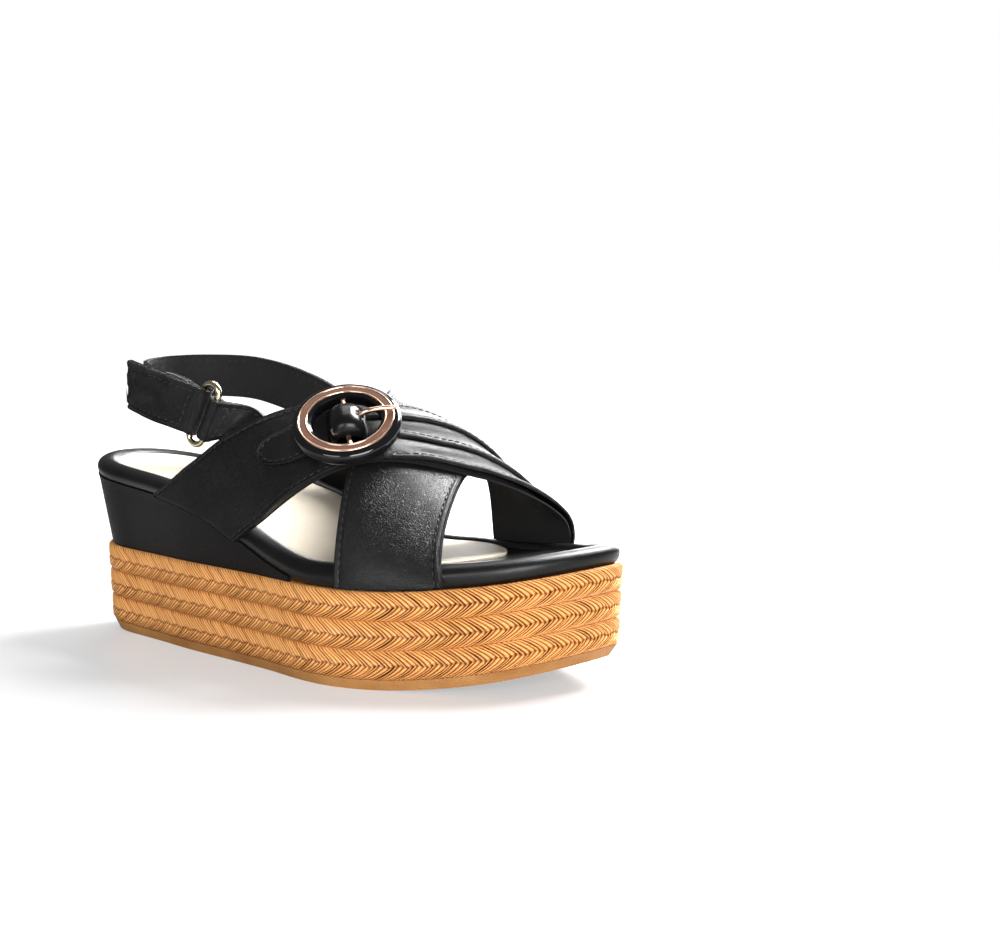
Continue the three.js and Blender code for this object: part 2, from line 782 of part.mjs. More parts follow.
// The ring tab holds the ring's front side and goes under the cross strap's rear edge.
const TAB_LEATHER = 2;
const frontSide = ovalCentre.clone().addScaledVector(ovalAcross, OVAL_RADIUS + LOOP_IN);
const tabEdge = (side) => [
  frontSide.clone().addScaledVector(ovalUp, (side * SLING_WIDTH) / 2),
  archPoint(0.405 * SOLE_LENGTH + side * 3, -0.6 + side * 0.09, TUCK_LIFT - TAB_LEATHER),
  archPoint(0.455 * SOLE_LENGTH + side * 4, -0.605 + side * 0.085, TUCK_LIFT - TAB_LEATHER),
];
const tabBand = ribbon({ low: tabEdge(-1), high: tabEdge(1), inside: 0, outside: TAB_LEATHER, steps: 8 });
const tabLoop = loopRound(1, SLING_LEATHER, SLING_WIDTH);
add("ring_tab", geometryOf(solidOf(tabBand).add(solidOf(tabLoop))), blackLeather);

// The origin is on the ground under the middle of the sandal's bounding box.
const bounds = new THREE.Box3().setFromObject(sandal);
const centre = bounds.getCenter(new THREE.Vector3());
sandal.position.set(-centre.x, -centre.y, -bounds.min.z);

export default sandal;
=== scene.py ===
import bisect
import math
import random

import bmesh
import bpy
from mathutils import Matrix, Vector, noise


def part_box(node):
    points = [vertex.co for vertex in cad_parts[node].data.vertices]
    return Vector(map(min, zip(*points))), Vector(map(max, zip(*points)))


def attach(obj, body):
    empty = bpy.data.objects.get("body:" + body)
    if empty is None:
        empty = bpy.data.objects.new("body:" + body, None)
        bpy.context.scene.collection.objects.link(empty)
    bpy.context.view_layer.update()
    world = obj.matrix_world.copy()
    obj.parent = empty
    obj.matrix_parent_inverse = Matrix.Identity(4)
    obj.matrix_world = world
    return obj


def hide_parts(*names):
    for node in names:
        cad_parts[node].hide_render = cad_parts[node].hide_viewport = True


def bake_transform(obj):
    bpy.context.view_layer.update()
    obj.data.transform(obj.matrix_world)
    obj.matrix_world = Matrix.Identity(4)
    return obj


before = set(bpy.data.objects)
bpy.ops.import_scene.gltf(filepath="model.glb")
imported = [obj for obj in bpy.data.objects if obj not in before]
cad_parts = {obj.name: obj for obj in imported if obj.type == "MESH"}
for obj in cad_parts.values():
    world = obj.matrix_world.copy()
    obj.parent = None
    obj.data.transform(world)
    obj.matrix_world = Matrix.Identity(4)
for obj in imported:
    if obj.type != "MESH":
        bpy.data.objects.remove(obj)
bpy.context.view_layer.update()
random.seed(7)

# ---- Outsole ----
# A flat sheet of tan rubber cut to the outline, cemented under the rope. It lies on the ground and
# lifts a little at the toe and the heel, and its buffed rim shows below the rope.
OUTSOLE = 0.004
ROPE_ROW = 0.0108
PLATFORM = OUTSOLE + 3 * ROPE_ROW
TOE_SPRING = 0.008
TOE_SQUEEZE = 0.0026
HEEL_SPRING = 0.0026
rope_low, rope_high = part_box("rope_row_bottom")
SOLE_LENGTH = rope_high.x - rope_low.x
STATIONS = 44  # round the outline
RUBBER = (0.56, 0.27, 0.085, 1)
RUBBER_DARK = (0.4, 0.17, 0.045, 1)


def lerp(a, b, share):
    return a + (b - a) * share


def smoothstep(value, low, high):
    share = min(max((value - low) / (high - low), 0), 1)
    return share * share * (3 - 2 * share)


def along(pairs):
    """A smooth value along the sole: a cubic through (share of the length, value) pairs."""
    slopes = []
    for i in range(len(pairs)):
        before, after = pairs[max(i - 1, 0)], pairs[min(i + 1, len(pairs) - 1)]
        slopes.append((after[1] - before[1]) / (after[0] - before[0]))

    def value(x):
        share = min(max(x / SOLE_LENGTH, 0), 1)
        i = max(next(n for n, pair in enumerate(pairs) if pair[0] >= share) - 1, 0)
        width = pairs[i + 1][0] - pairs[i][0]
        s = (share - pairs[i][0]) / width
        bend = width * s * (1 - s) * (slopes[i] * (1 - s) - slopes[i + 1] * s)
        return pairs[i][1] * (1 + 2 * s) * (1 - s) ** 2 + pairs[i + 1][1] * s * s * (3 - 2 * s) + bend

    return value


fullness = along([(0, 1.2), (0.032, 1.12), (0.13, 0.82), (0.3, 0.74), (0.48, 0.82),
                  (0.665, 1.05), (0.83, 1.04), (0.94, 1.09), (1, 1.12)])
middle = along([(0, 0.02), (0.13, 0.02), (0.3, -0.06), (0.48, -0.1), (0.665, -0.11),
                (0.83, -0.04), (0.94, 0.06), (1, 0.24)])


def outline_in_halves(turn):
    """The outline at a turn, 0 at the heel and half a turn at the toe: x, and y in half widths."""
    x = SOLE_LENGTH / 2 * (1 - math.cos(turn))
    return x, middle(x) - fullness(x) * math.sin(turn)


outline_ys = [outline_in_halves(2 * math.pi * step / STATIONS)[1] for step in range(STATIONS)]
SOLE_HALF = (rope_high.y - rope_low.y) / (max(outline_ys) - min(outline_ys))
HEEL = Vector((rope_low.x, rope_low.y - SOLE_HALF * min(outline_ys), 0))


def outline(turn, inset=0.0):
    """A point of the outline, moved in by inset."""
    step = 0.001
    ahead, behind = outline_in_halves(turn + step), outline_in_halves(turn - step)
    way = Vector((ahead[0] - behind[0], SOLE_HALF * (ahead[1] - behind[1]))).normalized()
    x, y = outline_in_halves(turn)
    return x - way.y * inset, SOLE_HALF * y + way.x * inset


def lifted(x, level):
    """Height of a level of the platform, which lifts at the toe and the heel."""
    toe = max(x / SOLE_LENGTH - 0.71, 0) / 0.29
    heel = max(0.14 - x / SOLE_LENGTH, 0) / 0.14
    squeeze = TOE_SQUEEZE * (1 - level / PLATFORM)
    return level + (TOE_SPRING + squeeze) * toe ** 2 + HEEL_SPRING * heel ** 2


def skin(columns, rows, place):
    """A sheet of quads: place(u, v) gives the point for u and v from 0 to 1. Meeting ends are joined."""
    bm = bmesh.new()
    bm.loops.layers.uv.new("UVMap")
    bmesh.ops.create_grid(bm, x_segments=columns, y_segments=rows, size=0.5, calc_uvs=True)
    for vert in bm.verts:
        vert.co = place(vert.co.x + 0.5, vert.co.y + 0.5)
    bmesh.ops.remove_doubles(bm, verts=bm.verts[:], dist=1e-6)
    return bm


def slab(columns, rows, place, rim=0.0, segments=2):
    """A sheet with a thickness: place(u, v, w), with w 0 underneath and 1 on top. Its rim is rounded."""
    bm = bmesh.new()
    bm.loops.layers.uv.new("UVMap")
    bmesh.ops.create_grid(bm, x_segments=columns, y_segments=rows, size=0.5, calc_uvs=True)
    top = bmesh.ops.extrude_face_region(bm, geom=bm.faces[:])["geom"]
    lifted_verts = [part for part in top if isinstance(part, bmesh.types.BMVert)]
    bmesh.ops.translate(bm, verts=lifted_verts, vec=(0, 0, 1))
    rims = [edge for edge in bm.edges if rim and on_rim(edge)]
    for vert in bm.verts:
        vert.co = place(vert.co.x + 0.5, vert.co.y + 0.5, vert.co.z)
    if rims:
        bmesh.ops.bevel(bm, geom=rims, offset=rim, segments=segments, profile=0.5,
                        affect="EDGES", material=-1, clamp_overlap=True)
    return bm


def on_rim(edge):
    """Whether an edge of the unit slab lies along its rim, above or below."""
    one, other = (vert.co for vert in edge.verts)
    flat = abs(one.z - other.z) < 0.5
    side = abs(abs(one.x) - 0.5) < 1e-4 and abs(one.x - other.x) < 1e-4
    end = abs(abs(one.y) - 0.5) < 1e-4 and abs(one.y - other.y) < 1e-4
    return flat and (side or end)


def layer(inset, bottom, top, first=0.02, last=math.pi - 0.02, narrow=None):
    """place() for a flat layer of the sole, from one turn of the outline to another."""
    def place(u, v, w):
        turn = lerp(first, last, u)
        x = outline_in_halves(turn)[0]
        outer, inner = outline(turn, inset(x, w)), outline(-turn, inset(x, w))
        share = 0.5 + (v - 0.5) * (narrow(x) if narrow else 1)
        px = lerp(outer[0], inner[0], share)
        return Vector((px, lerp(outer[1], inner[1], share), lerp(bottom(px), top(px), w)))

    return place


SHARP_ANGLE = math.radians(42)


def piece(name, bm, material, body="upper", nodes=(), place=None):
    """Puts a finished mesh into the scene in the sandal's own place, riding on its body."""
    if place is None:
        place = Matrix.Translation(HEEL)
    bmesh.ops.transform(bm, matrix=place, verts=bm.verts[:])
    bmesh.ops.recalc_face_normals(bm, faces=bm.faces[:])
    for face in bm.faces:
        face.smooth = True
    mesh = bpy.data.meshes.new(name)
    bm.to_mesh(mesh)
    bm.free()
    mesh.set_sharp_from_angle(angle=SHARP_ANGLE)
    made = bpy.data.objects.new(name, mesh)
    bpy.context.scene.collection.objects.link(made)
    mesh.materials.append(material)
    if body:
        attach(made, body)
    if nodes:
        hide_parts(*nodes)
    return made


def smoothed(made, levels=1):
    """Adds a subdivision surface to a piece."""
    modifier = made.modifiers.new("smooth", "SUBSURF")
    modifier.levels = levels
    modifier.render_levels = levels
    return made


class Finish:
    """A material with a Principled BSDF, and short ways to add the nodes that feed it."""

    def __init__(self, name, color, roughness, **values):
        self.material = bpy.data.materials.new(name)
        self.material.use_nodes = True
        self.tree = self.material.node_tree
        self.shader = self.tree.nodes["Principled BSDF"]
        self.shader.inputs["Base Color"].default_value = color
        self.shader.inputs["Roughness"].default_value = roughness
        for socket, value in values.items():
            title = socket.replace("_", " ").title().replace("Ior", "IOR")
            self.shader.inputs[title].default_value = value

    def add(self, kind, **settings):
        node = self.tree.nodes.new(kind)
        for name, value in settings.items():
            setattr(node, name, value)
        return node

    def join(self, output, target):
        self.tree.links.new(output, target)

    def group(self, tree, **values):
        node = self.add("ShaderNodeGroup", node_tree=tree)
        for socket, value in values.items():
            node.inputs[socket.title()].default_value = value
        return node

    def bump(self, height, distance, strength=1.0):
        node = self.add("ShaderNodeBump")
        node.inputs["Distance"].default_value = distance
        node.inputs["Strength"].default_value = strength
        self.join(height, node.inputs["Height"])
        self.join(node.outputs["Normal"], self.shader.inputs["Normal"])

    def color_between(self, mask, low, high, start=0.3, end=0.7):
        ramp = self.add("ShaderNodeValToRGB")
        ramp.color_ramp.elements[0].position = start
        ramp.color_ramp.elements[0].color = low
        ramp.color_ramp.elements[1].position = end
        ramp.color_ramp.elements[1].color = high
        self.join(mask, ramp.inputs["Fac"])
        self.join(ramp.outputs["Color"], self.shader.inputs["Base Color"])
        return ramp

    def rough_between(self, mask, low, high):
        spread = self.add("ShaderNodeMapRange")
        spread.inputs["To Min"].default_value = low
        spread.inputs["To Max"].default_value = high
        self.join(mask, spread.inputs["Value"])
        self.join(spread.outputs["Result"], self.shader.inputs["Roughness"])


def node_group(name, inputs, outputs):
    """An empty shader node group with named value sockets, its input node and its output node."""
    tree = bpy.data.node_groups.new(name, "ShaderNodeTree")
    for socket, value in inputs.items():
        made = tree.interface.new_socket(socket, in_out="INPUT", socket_type="NodeSocketFloat")
        made.default_value = value
    for socket in outputs:
        tree.interface.new_socket(socket, in_out="OUTPUT", socket_type="NodeSocketFloat")
    return tree, tree.nodes.new("NodeGroupInput"), tree.nodes.new("NodeGroupOutput")


def mottle_group():
    """Soft uneven patches and fine specks, as on rubber, cork and handled leather."""
    tree, inside, out = node_group("mottle", {"Scale": 60.0}, ["Patches", "Specks"])
    where = tree.nodes.new("ShaderNodeTexCoord")
    for output, detail, times in (("Patches", 3.0, 1.0), ("Specks", 2.0, 22.0)):
        scale = tree.nodes.new("ShaderNodeMath")
        scale.operation = "MULTIPLY"
        scale.inputs[1].default_value = times
        clouds = tree.nodes.new("ShaderNodeTexNoise")
        clouds.inputs["Detail"].default_value = detail
        tree.links.new(inside.outputs["Scale"], scale.inputs[0])
        tree.links.new(scale.outputs[0], clouds.inputs["Scale"])
        tree.links.new(where.outputs["Object"], clouds.inputs["Vector"])
        tree.links.new(clouds.outputs["Fac"], out.inputs[output])
    return tree


mottle = mottle_group()
rubber = Finish("tan_rubber", RUBBER, 0.55)
rubber_mottle = rubber.group(mottle, scale=55.0)
rubber.color_between(rubber_mottle.outputs["Patches"], RUBBER_DARK, RUBBER)
rubber.rough_between(rubber_mottle.outputs["Patches"], 0.45, 0.7)
rubber.bump(rubber_mottle.outputs["Specks"], 0.0003)

OUTSOLE_INSET = 0.0025
TOE_ROUND = 0.0012


def rim_inset(x, w):
    """How far the sheet's rim lies inside the outline: its lower edge is buffed back, most at the toe."""
    return lerp(OUTSOLE_INSET + TOE_ROUND * smoothstep(x, 0.85 * SOLE_LENGTH, SOLE_LENGTH), 0.0006, w)


sole_place = layer(rim_inset, lambda x: lifted(x, 0), lambda x: lifted(x, OUTSOLE))
sole_bm = slab(120, 16, sole_place, rim=0.0017, segments=4)
piece("outsole_sheet", sole_bm, rubber.material, nodes=("outsole",))

# ---- Platform core and heel wedge ----
# Blocks of agglomerated cork, glued to the outsole and to each other. The rope, the wedge cover and
# the footbed hide them, so they keep their plain shapes.
CORK_DARK = (0.16, 0.08, 0.035, 1)
CORK_LIGHT = (0.5, 0.32, 0.17, 1)
cork = Finish("cork", CORK_LIGHT, 0.9)
cork_mottle = cork.group(mottle, scale=260.0)
cork.color_between(cork_mottle.outputs["Patches"], CORK_DARK, CORK_LIGHT)
cork.bump(cork_mottle.outputs["Specks"], 0.0006)
for node in ("platform_core", "heel_wedge"):
    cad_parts[node].data.materials.clear()
    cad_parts[node].data.materials.append(cork.material)

# ---- Rope ----
# Three rows of flat plait are glued round the platform, one above the other. In each row, bundles of
# strands run in from both edges and meet along a spine, so they point forwards like arrowheads.
BUNDLES = 78  # round the sole, in each row
STRANDS = 4  # in a bundle
STRAND_STEPS = 7  # of the mesh, across a strand
COLUMNS = BUNDLES * STRANDS * STRAND_STEPS
ROW_FACE = 24  # steps up the face of a row
SPINE = 0.46  # share of a row's height at which the bundles meet
SPINE_SWING = 0.05  # how far the bundles' ends reach past it, as a share of the height
BUNDLE_SLANT = 0.0072  # how far a bundle runs forwards from the edge to the spine
ROPE_DEPTH = 0.0042
ROPE_OUT = 0.0005
BUNDLE_RELIEF = 0.00045
STRAND_RELIEF = 0.0007
ROW_LEAN = 0.0005
# The groove and shade colours are painted shade for the grooves between strands and bundles; ROPE_TAN is the
# rope's own colour.
ROPE_GROOVE_PAINTED_SHADE = (0.07, 0.018, 0.003, 1)
ROPE_SHADE = (0.45, 0.15, 0.027, 1)
ROPE_TAN = (0.96, 0.49, 0.165, 1)


def outline_lengths(samples=3000):
    """Lengths along the outline at even turns, from the heel right round to the heel again."""
    points = [Vector(outline(2 * math.pi * i / samples)) for i in range(samples + 1)]
    lengths = [0.0]
    for before, after in zip(points, points[1:]):
        lengths.append(lengths[-1] + (after - before).length)
    return lengths


sole_lengths = outline_lengths()
ROPE_LENGTH = sole_lengths[-1]


def turn_at(length):
    """The outline's turn at a length along it."""
    length %= ROPE_LENGTH
    i = min(max(bisect.bisect_right(sole_lengths, length) - 1, 0), len(sole_lengths) - 2)
    share = (length - sole_lengths[i]) / (sole_lengths[i + 1] - sole_lengths[i])
    return 2 * math.pi * (i + share) / (len(sole_lengths) - 1)


def plait(column, height):
    """How far back a strand lies at a height, how far out it stands, and its painted shade: darker in the
    grooves between strands and bundles and towards the spine, with a random tone per strand.
    """
    count = column / (STRANDS * STRAND_STEPS)
    spine = SPINE + SPINE_SWING * (4 * abs((count + 0.25) % 1 - 0.5) - 1)
    upper = height > spine
    reach = (height - spine) / (1 - spine) if upper else (spine - height) / spine
    count += 0 if upper else 0.5
    across = count % 1
    seed = Vector((math.floor(count) % BUNDLES * 1.7, 3.1 if upper else 8.3, reach))
    sway = 0.0005 * noise.noise(seed)
    back = BUNDLE_SLANT * (0.35 * reach + 0.65 * reach ** 1.7) + sway
    bundle = math.sin(math.pi * across) ** 0.5 * (0.8 + 0.4 * across)
    strand = 0.5 - 0.5 * math.cos(2 * math.pi * across * STRANDS)
    strand_number = math.floor(count * STRANDS) % (BUNDLES * STRANDS)
    tone = 0.2 * noise.noise(Vector((strand_number * 1.3, 5.7, 9.1)))
    inner = smoothstep(reach, -0.02, 0.16)
    outer = 1 - smoothstep(reach, 0.8, 1.0)
    rim = lerp(0.25, 1, outer)
    out = lerp(0.45, 1, inner) * rim * (BUNDLE_RELIEF * bundle + STRAND_RELIEF * strand ** 0.6)
    # Painted shade: low in the grooves between strands and bundles and near the spine, flatter towards the
    # row's edges, plus a random tone per strand.
    light = lerp(0.66, 0.35 * bundle + 0.75 * strand ** 0.8 + tone, rim) * lerp(0.5, 1, inner)
    return back, out, light


def rope_row(name, row):
    """One row of plait, a closed band round the platform with a flat back."""
    lean = row * ROW_LEAN
    lights = {}
    bottom = OUTSOLE + row * ROPE_ROW + 0.0001
    top = bottom + ROPE_ROW - 0.0002

    def place(u, v):
        column = round(u * COLUMNS) % COLUMNS
        step = round(v * (ROW_FACE + 3)) % (ROW_FACE + 3)
        face = 0 < step < ROW_FACE + 2
        height = min(max(step - 1, 0), ROW_FACE) / ROW_FACE
        back, out, light = plait(column, height)
        turn = turn_at(ROPE_LENGTH * column / COLUMNS - back)
        belly = 1 - abs(2 * height - 1) ** 4
        dip = 0.00015 * math.exp(-((height - SPINE) / 0.07) ** 2)
        inset = 0.0012 - lean - ROPE_OUT * belly - out + dip if face else ROPE_DEPTH
        x, y = outline(turn, inset)
        spot = Vector((x, y, lifted(x, lerp(bottom, top, height))))
        lights[tuple(round(c, 7) for c in spot)] = light
        return spot

    bm = skin(COLUMNS, ROW_FACE + 3, place)
    # Each point's painted shade and random tone, kept as a float attribute for the rope's colour.
    painted_shade_and_tone = bm.verts.layers.float.new("painted_shade_and_tone")
    for vert in bm.verts:
        vert[painted_shade_and_tone] = lights.get(tuple(round(c, 7) for c in vert.co), 0.5)
    return piece(name + "_plait", bm, rope.material, nodes=(name,))


rope = Finish("rope", ROPE_TAN, 0.6)
rope_painted_shade = rope.add("ShaderNodeAttribute", attribute_name="painted_shade_and_tone")
rope_mottle = rope.group(mottle, scale=60.0)
rope_shift = rope.add("ShaderNodeMath", operation="MULTIPLY_ADD")
rope_shift.inputs[1].default_value = 0.3
rope.join(rope_mottle.outputs["Patches"], rope_shift.inputs[0])
rope.join(rope_painted_shade.outputs["Fac"], rope_shift.inputs[2])
# The attribute's painted shade runs the colour from the painted groove shade through ROPE_SHADE, also
# painted shade, to tan.
rope_ramp = rope.color_between(rope_shift.outputs[0], ROPE_GROOVE_PAINTED_SHADE, ROPE_TAN, 0.3, 1.0)
rope_ramp.color_ramp.elements.new(0.62).color = ROPE_SHADE
rope.rough_between(rope_mottle.outputs["Patches"], 0.3, 0.55)
rope.bump(rope_mottle.outputs["Specks"], 0.0003)
for row, name in enumerate(("rope_row_bottom", "rope_row_middle", "rope_row_top")):
    rope_row(name, row)

# ---- Wedge cover ----
# One piece of matt black leather, wrapped round the heel and down both sides of the wedge. Its lower
# edge tucks in behind the rope and its upper edge under the footbed.
HEEL_HEIGHT = 0.0655
WEDGE = HEEL_HEIGHT - PLATFORM
WEDGE_DRAFT = 0.19
WEDGE_THIN = 0.0006 / WEDGE
COVER_LEATHER = 0.0012
COVER_END = 12 / STATIONS * 2 * math.pi
wedge_share = along([(0, 1), (0.11, 0.94), (0.28, 0.81), (0.385, 0.61), (0.45, 0.4), (0.52, 0.18),
                     (0.6, 1.5 * WEDGE_THIN), (0.68, WEDGE_THIN), (1, WEDGE_THIN)])
BLACK = (0.003, 0.003, 0.0033, 1)
BLACK_HIGH = (0.0075, 0.0075, 0.008, 1)


def platform_top(x):
    return lifted(x, PLATFORM)


def seat(x):
    """Top of the platform and wedge, where the footbed lies."""
    return platform_top(x) + WEDGE * wedge_share(x)


def flare(x):
    """How far the wedge leans out at its top."""
    return WEDGE_DRAFT * WEDGE * wedge_share(x)


def grain_group():
    """Leather grain: small pebbles with creases between them, and fine pores."""
    tree, inside, out = node_group("grain", {"Scale": 900.0}, ["Height", "Uneven"])
    where = tree.nodes.new("ShaderNodeTexCoord")
    pebbles = tree.nodes.new("ShaderNodeTexVoronoi")
    pebbles.feature = "DISTANCE_TO_EDGE"
    creases = tree.nodes.new("ShaderNodeMapRange")
    creases.inputs["From Max"].default_value = 0.12
    pores = tree.nodes.new("ShaderNodeTexNoise")
    pores.inputs["Scale"].default_value = 2600.0
    clouds = tree.nodes.new("ShaderNodeTexNoise")
    clouds.inputs["Scale"].default_value = 34.0
    clouds.inputs["Detail"].default_value = 4.0
    total = tree.nodes.new("ShaderNodeMath")
    total.operation = "MULTIPLY_ADD"
    total.inputs[1].default_value = 0.45
    for texture in (pebbles, pores, clouds):
        tree.links.new(where.outputs["Object"], texture.inputs["Vector"])
    tree.links.new(inside.outputs["Scale"], pebbles.inputs["Scale"])
    tree.links.new(pebbles.outputs["Distance"], creases.inputs["Value"])
    tree.links.new(pores.outputs["Fac"], total.inputs[0])
    tree.links.new(creases.outputs["Result"], total.inputs[2])
    tree.links.new(total.outputs[0], out.inputs["Height"])
    tree.links.new(clouds.outputs["Fac"], out.inputs["Uneven"])
    return tree


grain = grain_group()


def leather(name, dark, light, smooth, rough, scale, depth, shine=0.3):
    """A leather: its two tones, the range of its roughness, its grain size and depth, and its shine."""
    hide = Finish(name, light, rough, specular_ior_level=shine)
    pattern = hide.group(grain, scale=scale)
    hide.color_between(pattern.outputs["Uneven"], dark, light)
    hide.rough_between(pattern.outputs["Uneven"], smooth, rough)
    hide.bump(pattern.outputs["Height"], depth)
    return hide.material


wedge_leather = leather("wedge_leather", BLACK, BLACK_HIGH, 0.4, 0.55, 1100.0, 0.0001, shine=0.15)


def cover_place(u, v, w):
    turn = lerp(-COVER_END, COVER_END, u)
    x = outline_in_halves(turn)[0]
    px, py = outline(turn, 0.0005 - v * flare(x) + COVER_LEATHER * (1 - w))
    return Vector((px, py, lerp(platform_top(px) - 0.0008, seat(px), v)))


cover_bm = slab(150, 14, cover_place, rim=0.0005, segments=3)
piece("wedge_cover_leather", cover_bm, wedge_leather, nodes=("wedge_cover",))

# ---- Footbed ----
# A fibre board carries a foam pad under a thin black skin. A padded strip of satin leather is rolled
# round the rim, and a cream sock lining with a rounded front end is glued on top.
HEEL_EDGE = 0.007
BALL_EDGE = 0.0082
EDGE_ROLL = 0.0085
SOCK = 0.0009
edge_height = along([(0, HEEL_EDGE), (0.25, HEEL_EDGE), (0.6, BALL_EDGE), (0.85, BALL_EDGE),
                     (1, BALL_EDGE - 0.001)])
CREAM = (0.78, 0.7, 0.57, 1)
CREAM_DARK = (0.7, 0.61, 0.48, 1)
BOARD_BROWN = (0.3, 0.2, 0.11, 1)
FOAM_GREY = (0.5, 0.48, 0.45, 1)


def sock_top(x):
    return seat(x) + 0.84 * edge_height(x)


for node, color in (("insole_board", BOARD_BROWN), ("footbed_foam", FOAM_GREY)):
    filling = Finish(node + "_finish", color, 0.95)
    filling_mottle = filling.group(mottle, scale=300.0)
    dark = tuple(c * 0.7 for c in color[:3]) + (1,)
    filling.color_between(filling_mottle.outputs["Patches"], dark, color)
    filling.bump(filling_mottle.outputs["Specks"], 0.0003)
    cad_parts[node].data.materials.clear()
    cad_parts[node].data.materials.append(filling.material)

edge_leather = leather("edge_leather", BLACK, BLACK_HIGH, 0.27, 0.33, 1500.0, 0.00002, shine=0.35)
EDGE_SECTION = ((0.0022, -0.16), (0.0006, 0.0), (-0.0002, 0.34), (0.0001, 0.58), (0.0012, 0.8),
                (0.0032, 0.97), (0.0055, 1.02), (0.0075, 0.94), (EDGE_ROLL, 0.8), (EDGE_ROLL, 0.5),
                (0.0046, 0.4), (0.0042, -0.1))


def edge_place(u, v):
    turn = 2 * math.pi * u
    inset, share = EDGE_SECTION[round(v * len(EDGE_SECTION)) % len(EDGE_SECTION)]
    x = outline_in_halves(turn)[0]
    px, py = outline(turn, inset - flare(x))
    return Vector((px, py, seat(px) + 0.0003 + share * (edge_height(px) - 0.0003)))


roll_bm = skin(160, len(EDGE_SECTION), edge_place)
rolled = piece("footbed_edge_roll", roll_bm, edge_leather, nodes=("footbed_edge",))
smoothed(rolled, 2)

skin_inset = lambda x, w: EDGE_ROLL - 0.0006 - flare(x)
skin_place = layer(skin_inset, lambda x: sock_top(x) - SOCK - 0.001, lambda x: sock_top(x) - SOCK)
piece("footbed_top", slab(110, 18, skin_place), edge_leather, nodes=("footbed_skin",))

SOCK_LAST = 16 / STATIONS * 2 * math.pi
SOCK_END = (1 - math.cos(SOCK_LAST)) / 2
SOCK_ROUND = 0.14


def sock_narrow(x):
    past = max(x / SOLE_LENGTH - (SOCK_END - SOCK_ROUND), 0) / SOCK_ROUND
    return math.sqrt(max(1 - past ** 2, 0.0004))


cream_leather = leather("cream_leather", CREAM_DARK, CREAM, 0.5, 0.68, 1400.0, 0.0001)
sock_inset = lambda x, w: EDGE_ROLL - 0.0002 - flare(x)
sock_place = layer(sock_inset, lambda x: sock_top(x) - SOCK, sock_top, last=SOCK_LAST, narrow=sock_narrow)
piece("sock_lining_leather", slab(110, 24, sock_place, rim=0.0003), cream_leather,
      nodes=("sock_lining",))

# ---- Under strap ----
# A broad strap of pebbled black leather runs from the inner side of the waist over the foot to the
# outer side of the toes. It is lined, its edges are folded, and black thread runs along them.
ARCH_LIFT = 0.0006
ARCH_REACH = 0.0013
ARCH_LEAN = 0.0071
STRAP_LEATHER = 0.0012
STRAP_LINING = 0.0008
STITCH_PITCH = 0.0032
STITCH_LENGTH = 0.0024
THREAD = 0.00034
SEAM_INSET = 0.0021
arch_rise = along([(0, 0.030), (0.167, 0.044), (0.333, 0.066), (0.5, 0.067), (0.667, 0.0512),
                   (0.833, 0.023), (1, 0.006)])
THREAD_BLACK = (0.006, 0.006, 0.007, 1)
THREAD_SHEEN = (0.03, 0.03, 0.032, 1)


def half_breadth(x):
    return SOLE_HALF * fullness(x) * math.sqrt(max(1 - (1 - 2 * x / SOLE_LENGTH) ** 2, 0))


def arch_point(x, t, lift):
    """A point over the foot: t runs from -1 at the outer side to 1 at the inner side."""
    angle = math.pi * (t + 1) / 2
    level = math.copysign(abs(math.cos(angle)) ** 0.85, t)
    rise = abs(math.sin(angle)) ** 0.95
    step = 0.0005
    slant = math.hypot(1, (half_breadth(x + step) - half_breadth(x - step)) / (2 * step))
    side = half_breadth(x) + (flare(x) + ARCH_REACH) * slant
    y = SOLE_HALF * middle(x) + level * (side + lift) + rise * ARCH_LEAN
    return Vector((x, y, seat(x) + ARCH_LIFT + rise * (arch_rise(x) + lift)))


def strap_edge(shares):
    """A strap's edge along the arch: a Bezier curve through four shares of the sole's length."""
    a, b, c, d = (share * SOLE_LENGTH for share in shares)

    def edge(t):
        s = (t + 1) / 2
        return a * (1 - s) ** 3 + 3 * b * s * (1 - s) ** 2 + 3 * c * s * s * (1 - s) + d * s ** 3

    return edge


cross_rear = strap_edge((0.231, 0.685, 0.649, 0.684))
cross_front = strap_edge((0.452, 0.756, 0.885, 0.845))
under_rear = strap_edge((0.687, 0.661, 0.575, 0.284))
under_front = strap_edge((0.843, 0.8, 0.767, 0.493))


def creased(spot, depth, size):
    """A small uneven rise of worn leather."""
    return depth * noise.noise(Vector((spot.x / size, spot.y / size, spot.z / size)))


def band(rear, front, lift, thick, start=-1.0, end=1.0, hems=(True, True), crease=0.0):
    """place() for a strap on the arch, v along it and u across it. A hem is puffed, with a sunk seam."""
    def place(u, v, w):
        eased = 0.5 - 0.5 * math.cos(math.pi * u)
        share = lerp(u, eased, 0.6)
        t = lerp(start, end, v)
        x = lerp(rear(t), front(t), share)
        height = lift(t, share) + thick * w
        if w > 0.5:
            width = (arch_point(front(t), t, 0) - arch_point(rear(t), t, 0)).length
            for near, hem in ((share * width, hems[0]), ((1 - share) * width, hems[1])):
                if hem:
                    puff = math.exp(-((near - 0.0009) / 0.0009) ** 2)
                    groove = math.exp(-((near - SEAM_INSET) / 0.0006) ** 2)
                    height += 0.00028 * puff - 0.00022 * groove
            height += creased(arch_point(x, t, 0), crease, 0.014)
        return arch_point(x, t, height)

    return place


def thread_material():
    """Waxed twisted thread, with a painted sheen along its twist."""
    thread = Finish("thread", THREAD_BLACK, 0.38)
    twist = thread.add("ShaderNodeTexNoise")
    twist.inputs["Scale"].default_value = 3000.0
    where = thread.add("ShaderNodeTexCoord")
    thread.join(where.outputs["Object"], twist.inputs["Vector"])
    # Painted sheen: the twist's noise lightens the black thread towards the THREAD_SHEEN grey.
    thread.color_between(twist.outputs["Fac"], THREAD_BLACK, THREAD_SHEEN)
    thread.bump(twist.outputs["Fac"], 0.0001)
    return thread.material


thread_finish = thread_material()


